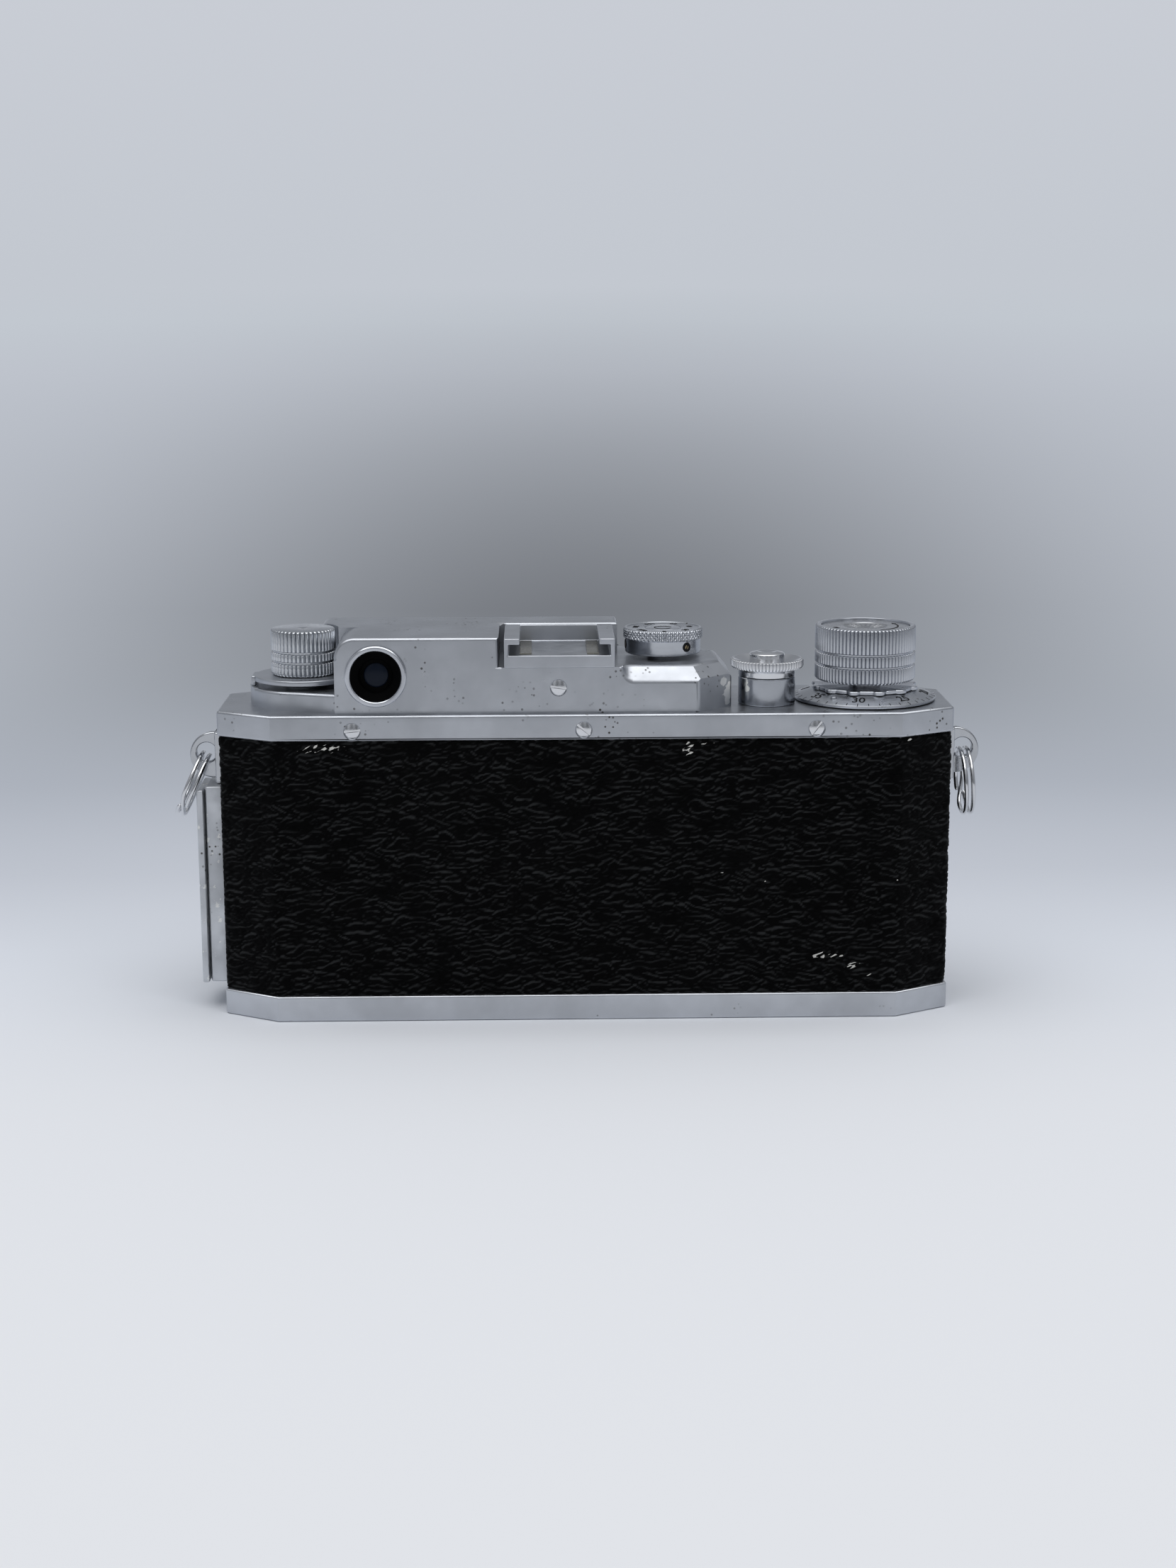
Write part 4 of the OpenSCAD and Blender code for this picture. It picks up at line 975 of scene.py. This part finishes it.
for i in range(40):
    point, down_slope, normal = on_cone(math.radians(ZERO_MARK + i * 9), 12.55)
    length = 1.0 if i % 5 == 0 else 0.8
    mark = prism([(0, -0.07), (length, -0.07), (length, 0.07), (0, 0.07)], -INK_HALF, INK_HALF)
    parts.append(placed(mark, down_slope, np.cross(normal, down_slope), point))
piece("counter_marks", joined(*parts), INK, "counter", "satin_chrome", smooth=False)


LOBE_R, LOBE_AT, BETWEEN_R = 1.3, 8.9, 9.4


def lobed(angle, r, h):
    """Twelve round lobes round a plate."""
    across = (angle - math.radians(10) + math.pi / 12) % (math.pi / 6) - math.pi / 12
    aside = LOBE_AT * np.sin(across)
    reach = LOBE_AT * np.cos(across) + np.sqrt(np.maximum(LOBE_R ** 2 - aside ** 2, 0))
    bulge = np.where(np.abs(aside) < LOBE_R, np.maximum(reach, BETWEEN_R), BETWEEN_R)
    return np.where(r > 9, r - 10.2 + bulge, r), h


profile = fillet([
    (8.2, cone_z + 0.02, 0), (8.2, z1 - 0.66, 0), (10.1, z1 - 0.66, 0), (10.2, z1 - 0.56, 0.02),
    (10.2, z1 - 0.1, 0.06), (10.1, z1, 0.03), (2.6, z1, 0), (2.6, cone_z + 0.02, 0),
])
part = revolve(profile, (ax, ay, 0), around=360, shape=lobed)
piece("counter_lobes", part, KNURLED, "counter", "satin_chrome", "counter_ring")

# Speed dial
dx, dy, _ = middle("speed_dial")
rim_r = half("speed_dial")[0]
z0, z1 = span("speed_dial", 2)
body_r = rim_r - 0.35
profile = fillet([
    (3.1, z0, 0), (body_r - 0.2, z0, 0.1), (body_r, z0 + 0.2, 0.1), (body_r, z1 - 1.95, 0.05),
    (rim_r, z1 - 1.75, 0.1), (rim_r, z1 - 0.2, 0.1), (rim_r - 0.3, z1, 0.1), (rim_r - 0.6, z1, 0.05),
    (rim_r - 0.75, z1 - 0.12, 0.04), (3.55, z1 - 0.12, 0.05), (3.4, z1 - 0.28, 0.04),
    (3.25, z1 - 0.12, 0.05), (0.001, z1 - 0.12, 0),
], closed=False)
profile = np.concatenate([[(0.001, z1 - 2.2), (3.1, z1 - 2.2)], profile])
TURNED_TOP = metal("turned_top", CHROME, 0.2, pits=0.02, rings=(dx, dy, z1))


def diamond(angle, r, h):
    """Crossed knurl round the rim."""
    count = 56
    lean = h * 3.6
    along = angle * count / 2
    wave = np.minimum(np.abs(np.sin(along + lean)), np.abs(np.sin(along - lean)))
    on_rim = (r > body_r + 0.1) & (h > z1 - 1.9)
    return np.where(on_rim, r - 0.3 * (1 - wave ** 0.7) * np.clip((r - body_r) / 0.2, 0, 1), r), h


rim_rows = [(rim_r, h) for h in np.linspace(z1 - 1.6, z1 - 0.3, 12)]
split = int(np.argmax((profile[:, 0] > rim_r - 0.02) & (profile[:, 1] > z1 - 0.6)))
profile = np.concatenate([profile[:split], rim_rows, profile[split:]])
part = revolve(profile, (dx, dy, 0), around=480, shape=diamond)
piece("speed_dial_knurled", part, TURNED_TOP, "speed_dial", "satin_chrome", "speed_dial")
speeds = ["B", "30", "40", "60", "100", "200", "500"]
marks = ring_of_digits(speeds, 1.5, 5.25, (dx, dy), z1 - 0.105, -90, 51.43)
marks += arc_mark(1.6, 0.22, 20, 300, (dx, dy), z1 - 0.105, head=0.5)
piece("speed_dial_marks", joined(*marks), INK, "speed_dial", "satin_chrome", smooth=False)
head = screw_head(0.74, 0.24, 0.3, 0.08, 0.6)
# Dark discs round the set screws: painted shade of the holes that the heads sit in
rim_angles = np.arange(40) * TAU / 40
hole_shade = prism(np.column_stack([np.cos(rim_angles), np.sin(rim_angles)]) * 0.9, -0.5, -0.02)
parts, hole_shades = [], []
SET_SCREW_LEAN = 70
for screw_angle in (-54.3, 65.7, 185.7):
    a = math.radians(screw_angle)
    out = np.array((math.cos(a), math.sin(a), 0))
    side = np.array((-math.sin(a), math.cos(a), 0))
    lean = math.radians(SET_SCREW_LEAN)
    x_dir = side * math.cos(lean) + np.array((0, 0, 1)) * math.sin(lean)
    y_dir = np.cross(out, x_dir)
    at = np.array((dx, dy, z1 - 3.05)) + out * (body_r + 0.06)
    parts.append(placed(head, x_dir, y_dir, at))
    hole_shades.append(placed(hole_shade, x_dir, y_dir, at))
piece("set_screws", joined(*parts), "brass", "speed_dial", "brass", "speed_dial_screws")
piece("set_screw_hole_shade", joined(*hole_shades), INK, "speed_dial", "satin_chrome")

# Release
rx, ry, _ = middle("release_collar")
r = half("release_collar")[0]
z0, z1 = span("release_collar", 2)
profile = fillet([
    (3.4, z0, 0), (5.35, z0, 0.08), (5.35, z0 + 1.05, 0.3), (r - 0.25, z0 + 1.55, 0.15),
    (r, z0 + 1.9, 0.1), (r, z1 - 0.15, 0.12), (r - 0.5, z1, 0.12), (3.9, z1 - 0.95, 0.3),
    (3.4, z1 - 1.0, 0.05),
])
part = revolve(profile, (rx, ry, 0), around=63 * 8, shape=flutes(63, 0.26, r - 0.32))
body = node = "release_collar"
piece("release_collar_milled", part, "bright_chrome", body, "bright_chrome", node)
r = half("release_button")[0]
z0, z1 = span("release_button", 2)
profile = fillet([
    (0.001, z0 + 0.4, 0), (1.2, z0 + 0.4, 0.1), (1.2, z1 - 5.7, 0.1), (r, z1 - 5.7, 0.1),
    (r, z1 - 0.35, 0.32), (1.9, z1, 0.9), (1.1, z1 - 0.12, 0.3), (0.001, z1 - 0.3, 0),
], closed=False)
part = revolve(profile, (rx, ry, 0), around=96)
piece("release_button_cap", part, "bright_chrome", "release_button", "bright_chrome", "release_button")

# Eyepiece: a bright ring, a black funnel and the small eye lens
ex, _, ez = middle("eyepiece_bezel")
r = half("eyepiece_bezel")[0]
y0, y1 = span("eyepiece_bezel", 1)
profile = fillet([
    (4.4, y1, 0), (4.95, y1, 0), (4.95, y0 + 0.72, 0), (r, y0 + 0.68, 0.05), (r, y0 + 0.2, 0.2),
    (r - 0.25, y0, 0.15), (4.9, y0, 0.12), (4.75, y0 + 0.15, 0.05), (4.4, y0 + 0.8, 0.1),
])
part = revolve(profile, (ex, 0, ez), "y", around=128)
piece("eyepiece_ring", part, KNURLED, "camera", "bright_chrome", "eyepiece_bezel")
profile = fillet([
    (4.72, y0 + 0.25, 0), (4.42, y0 + 0.75, 0), (4.42, y1, 0), (0.001, y1, 0),
    (0.001, y0 + 2.75, 0), (2.3, y0 + 2.75, 0), (2.3, y0 + 2.45, 0.1), (3.0, y0 + 2.3, 0.2),
    (3.25, y0 + 1.2, 0.2), (4.5, y0 + 0.4, 0.1),
], closed=False)
piece("eyepiece_funnel", revolve(profile[::-1], (ex, 0, ez), "y"), FUNNEL, "camera", "black_paint")
profile = [(0.001, y0 + 2.74), (2.28, y0 + 2.74)] + [
    (2.28 * math.cos(t), y0 + 2.5 - 0.35 * math.sin(t)) for t in np.linspace(0, math.pi / 2 - 0.001, 10)
]
profile[-1] = (0.001, profile[-1][1])
part = revolve(profile, (ex, 0, ez), "y", around=64)
piece("eye_lens", part, DARK_GLASS, "camera", "clear_glass", "eyepiece_lens")

# Accessory shoe springs, bowed between their ends
sp_low, sp_high = box("shoe_springs")
shoe_x = (sp_low[0] + sp_high[0]) / 2
t = np.linspace(0, 1, 24)
bow = sp_low[2] + 0.14 + 0.2 * np.sin(math.pi * t) ** 1.5
parts = []
for way in (-1, 1):
    x_in, x_out = shoe_x + way * 5.1, shoe_x + way * 7.3
    ys = sp_low[1] + (sp_high[1] - sp_low[1]) * t
    rings = []
    for y, h in zip(ys, bow):
        rings += [(x_in, y, h - 0.12), (x_out, y, h - 0.12), (x_out, y, h + 0.1), (x_in, y, h + 0.1)]
    quads = grid_quads(24, 4, wrap_cols=True).tolist() + [[0, 1, 2, 3], [95, 94, 93, 92]]
    parts.append((np.array(rings), quads))
SPRING_STEEL = metal("spring_steel", (0.42, 0.4, 0.34), 0.25)
piece("shoe_leaf_springs", joined(*parts), SPRING_STEEL, "camera", "steel", "shoe_springs")

# Screws with slots: back and front of the skirt, and one in the housing
skirt_y = abs(box("top_plate")[0][1]) - 0.02
house_y = box("top_housing")[0][1]
parts = []
head = screw_head(1.52, 0.42, 0.34, 0.3, 0.5)
for x, turn in {-43.2: 6, -0.6: -38, 42.4: 52}.items():
    a = math.radians(turn)
    for way in (-1, 1):
        x_dir = np.array((-way * math.cos(a), 0, math.sin(a)))
        y_dir = np.array((way * math.sin(a), 0, math.cos(a)))
        parts.append(placed(head, x_dir, y_dir, (x, way * skirt_y, 55.6)))
c, s = math.cos(math.radians(-8)), math.sin(math.radians(-8))
parts.append(placed(head, (c, 0, s), (-s, 0, c), (HOUSE_SCREW[0], house_y, HOUSE_SCREW[1])))
piece("slotted_screws", joined(*parts), "bright_chrome", "camera", "bright_chrome", "cover_screws")
flange_face = span("lens_flange", 1)[1]
FLANGE_SCREW_R = 21.85
head = screw_head(0.94, 0.3, 0.25, 0.1, 0.6)
parts = []
for k in range(4):
    a = math.radians(45 + 90 * k)
    turn = math.radians(17 + 63 * k)
    c, s = math.cos(turn), math.sin(turn)
    x, z = lens_c[0] + FLANGE_SCREW_R * math.cos(a), lens_c[2] + FLANGE_SCREW_R * math.sin(a)
    parts.append(placed(head, (-c, 0, s), (s, 0, c), (x, flange_face, z)))
piece("mount_screws", joined(*parts), "bright_chrome", "camera", "bright_chrome", "flange_screws")


# Split rings: two turns of wire, its ends lying beside each other
def split_ring(name, node, lean, pivot, free_end):
    ring_r, wire, side = 6.25, 0.42, 0.66
    turns, steps, sides = 2.0, 260, 14
    a = np.linspace(0, turns * TAU, steps)
    share = np.clip((a - (TAU - 0.55)) / 1.1, 0, 1)
    across = -side + 2 * side * share * share * (3 - 2 * share)
    angle = a + math.radians(free_end)
    centre = np.stack([across, ring_r * np.cos(angle), ring_r * np.sin(angle) - ring_r], -1)
    tangent = np.gradient(centre, axis=0)
    tangent /= np.linalg.norm(tangent, axis=1)[:, None]
    radial = np.stack([np.zeros(steps), np.cos(angle), np.sin(angle)], -1)
    other = np.cross(tangent, radial)
    round_ = np.arange(sides) * TAU / sides
    taper = np.ones(steps)
    taper[:3] = taper[-3:][::-1] = (0.35, 0.8, 1.0)
    taper[-3:] = (1.0, 0.8, 0.35)
    cos_round, sin_round = np.cos(round_)[None, :, None], np.sin(round_)[None, :, None]
    spoke = radial[:, None, :] * cos_round + other[:, None, :] * sin_round
    tube = centre[:, None, :] + wire * taper[:, None, None] * spoke
    c, s = math.cos(math.radians(lean)), math.sin(math.radians(lean))
    spin = np.array([[c, 0, -s], [0, 1, 0], [s, 0, c]])
    verts = tube.reshape(-1, 3) @ spin + np.array(pivot)
    quads = grid_quads(steps, sides, wrap_cols=True).tolist()
    quads += [list(range(sides)), [steps * sides - 1 - i for i in range(sides)]]
    made = build(name, verts, quads, "bright_chrome")
    return finish_piece(made, node.replace("split_", ""), "bright_chrome", node)


split_ring("wire_ring_left", "split_ring_left", 24, (-72.2, 0, 48.5), 215)
split_ring("wire_ring_right", "split_ring_right", -4, (72.3, 0, 48.6), 330)

# Slow speed dial on the front
sx, _, sz = middle("slow_speed_dial")
r = half("slow_speed_dial")[0]
y0, y1 = span("slow_speed_dial", 1)
profile = fillet([
    (0.001, y0, 0), (r - 0.2, y0, 0.1), (r, y0 + 0.25, 0.1), (r, y0 + 2.2, 0.15),
    (r - 0.5, y0 + 2.6, 0.1), (r - 1.1, y0 + 2.6, 0.05), (r - 1.3, y0 + 3.3, 0.15),
    (2.6, y0 + 3.3, 0.1), (2.3, y0 + 3.15, 0.1), (0.001, y0 + 3.15, 0),
], closed=False)
milled = flutes(56, 0.24, r - 0.3, h_span=(y0 + 0.1, y0 + 2.5))
parts = [revolve(profile, (sx, 0, sz), "y", around=56 * 8, shape=milled)]
pin = fillet([(0.001, y0 + 3, 0), (0.8, y0 + 3, 0), (0.8, y1, 0.25), (0.001, y1, 0)], closed=False)
parts.append(revolve(pin, (sx + 5.2, 0, sz), "y", around=40))
part = joined(*parts)
piece("slow_dial_knurled", part, "satin_chrome", "slow_speed", "satin_chrome", "slow_speed_dial")


def front_digits(texts, size, radius, cx, cz, y, first, step):
    """Digits round a dial that faces forward, their feet to the rim's outside."""
    parts = []
    for i, text in enumerate(texts):
        a = math.radians(first + i * step)
        up = np.array((math.cos(a), 0, math.sin(a)))
        right = np.cross(up, (0, 1, 0))
        at = (cx + up[0] * radius, y, cz + up[2] * radius)
        parts.append(placed(lettering(text, size), right, up, at))
    return parts


marks = front_digits(["1", "2", "4", "8", "15", "30"], 1.3, 4.2, sx, sz, y0 + 3.31, 40, 52)
piece("slow_dial_marks", joined(*marks), INK, "slow_speed", "satin_chrome", smooth=False)

# Lens: focusing ring, aperture ring, engraved scales
lx, lz = lens_c[0], lens_c[2]
y0, y1 = span("focus_ring", 1)
r = FOCUS_R = 23.8
profile = fillet([
    (18.05, y0, 0), (r - 0.4, y0, 0.15), (r, y0 + 0.4, 0.15), (r, y0 + 2.4, 0.1),
    (r - 0.4, y0 + 2.8, 0.1), (r - 0.4, y0 + 3.6, 0.1), (r, y0 + 4.0, 0.1), (r, y1 - 2.2, 0.15),
    (r - 1.2, y1 - 1.4, 0.1), (r - 1.2, y1 - 0.15, 0.1), (r - 1.4, y1, 0.05), (18.05, y1, 0),
])
milled = flutes(60, 0.3, r - 0.35, h_span=(y0 + 3.9, y1 - 2.0))
parts = [revolve(profile, (lx, 0, lz), "y", around=60 * 8, shape=milled)]
LEVER = math.radians(335)
out = np.array((math.cos(LEVER), 0, math.sin(LEVER)))
side = np.array((-math.sin(LEVER), 0, math.cos(LEVER)))
lever_y = middle("infinity_catch")[1]
outline = [(22.0, -2.4, 0), (25.8, -2.4, 1.2), (26.6, 0, 1.6), (25.8, 2.4, 1.2), (22.0, 2.4, 0)]
outline = fillet(outline, steps=6)
lever = placed(prism(outline, -1.65, 1.65), out, (0, 1, 0), (lx, lever_y, lz))
parts.append(lever)
piece("focus_ring_milled", joined(*parts), "satin_chrome", "focus", "satin_chrome", "focus_ring")


def on_barrel(texts, size, radius, y, first, step):
    """Digits wrapped round the lens, read from in front and above."""
    parts = []
    for i, text in enumerate(texts):
        a = math.radians(first + i * step)
        out = np.array((math.cos(a), 0, math.sin(a)))
        right = np.array((-math.sin(a), 0, math.cos(a)))
        up = np.cross(out, right)
        verts, faces = lettering(text, size)
        bend = verts[:, 0] / radius
        r = radius + verts[:, 2]
        axis_part = np.outer(verts[:, 1], up)
        curved = np.outer(r * np.cos(bend), out) + np.outer(r * np.sin(bend), right) + axis_part
        parts.append((curved + np.array((lx, y, lz)), faces))
    return parts


distances = ["1", "1.2", "1.5", "2", "3", "5", "10", "20"]
marks = on_barrel(distances, 1.7, FOCUS_R - 1.19, y1 - 0.78, 150, -17)
piece("focus_marks", joined(*marks), INK, "focus", "satin_chrome", smooth=False)
y0, y1 = span("aperture_ring", 1)
r = half("aperture_ring")[0]
profile = fillet([
    (19.46, y0, 0), (r - 0.2, y0, 0.1), (r, y0 + 0.2, 0.1), (r, y0 + 1.7, 0.1),
    (r - 0.45, y0 + 2.1, 0.1), (r - 0.45, y1 - 0.2, 0.1), (r - 0.65, y1, 0.1), (19.46, y1, 0),
])
part = revolve(profile, (lx, 0, lz), "y", around=90 * 8, shape=flutes(90, 0.22, r - 0.3))
piece("aperture_ring_milled", part, "satin_chrome", "aperture", "satin_chrome", "aperture_ring")
stops = ["2", "2.8", "4", "5.6", "8", "11", "16"]
marks = on_barrel(stops, 1.5, r - 0.44, y1 - 1.25, 140, -16)
piece("aperture_marks", joined(*marks), INK, "aperture", "satin_chrome", smooth=False)

# Black stepped ring between the filter thread and the front glass
y1 = span("lens_head", 1)[1]
profile = []
for k in range(9):
    r = 13.45 + 0.62 * k
    y = y1 - 4.4 + 1.5 * (r - 13.4) / 5.95
    profile += [(r, y + 0.08, 0), (r + 0.06, y + 0.3, 0), (r + 0.5, y + 0.36, 0)]
profile += [(19.3, y1 - 2.6, 0.05), (19.3, y1 - 2.86, 0), (13.45, y1 - 4.36, 0)]
part = revolve(fillet(profile), (lx, 0, lz), "y", around=160)
piece("front_stepped_ring", part, "black_paint", "lens_head", "black_paint")
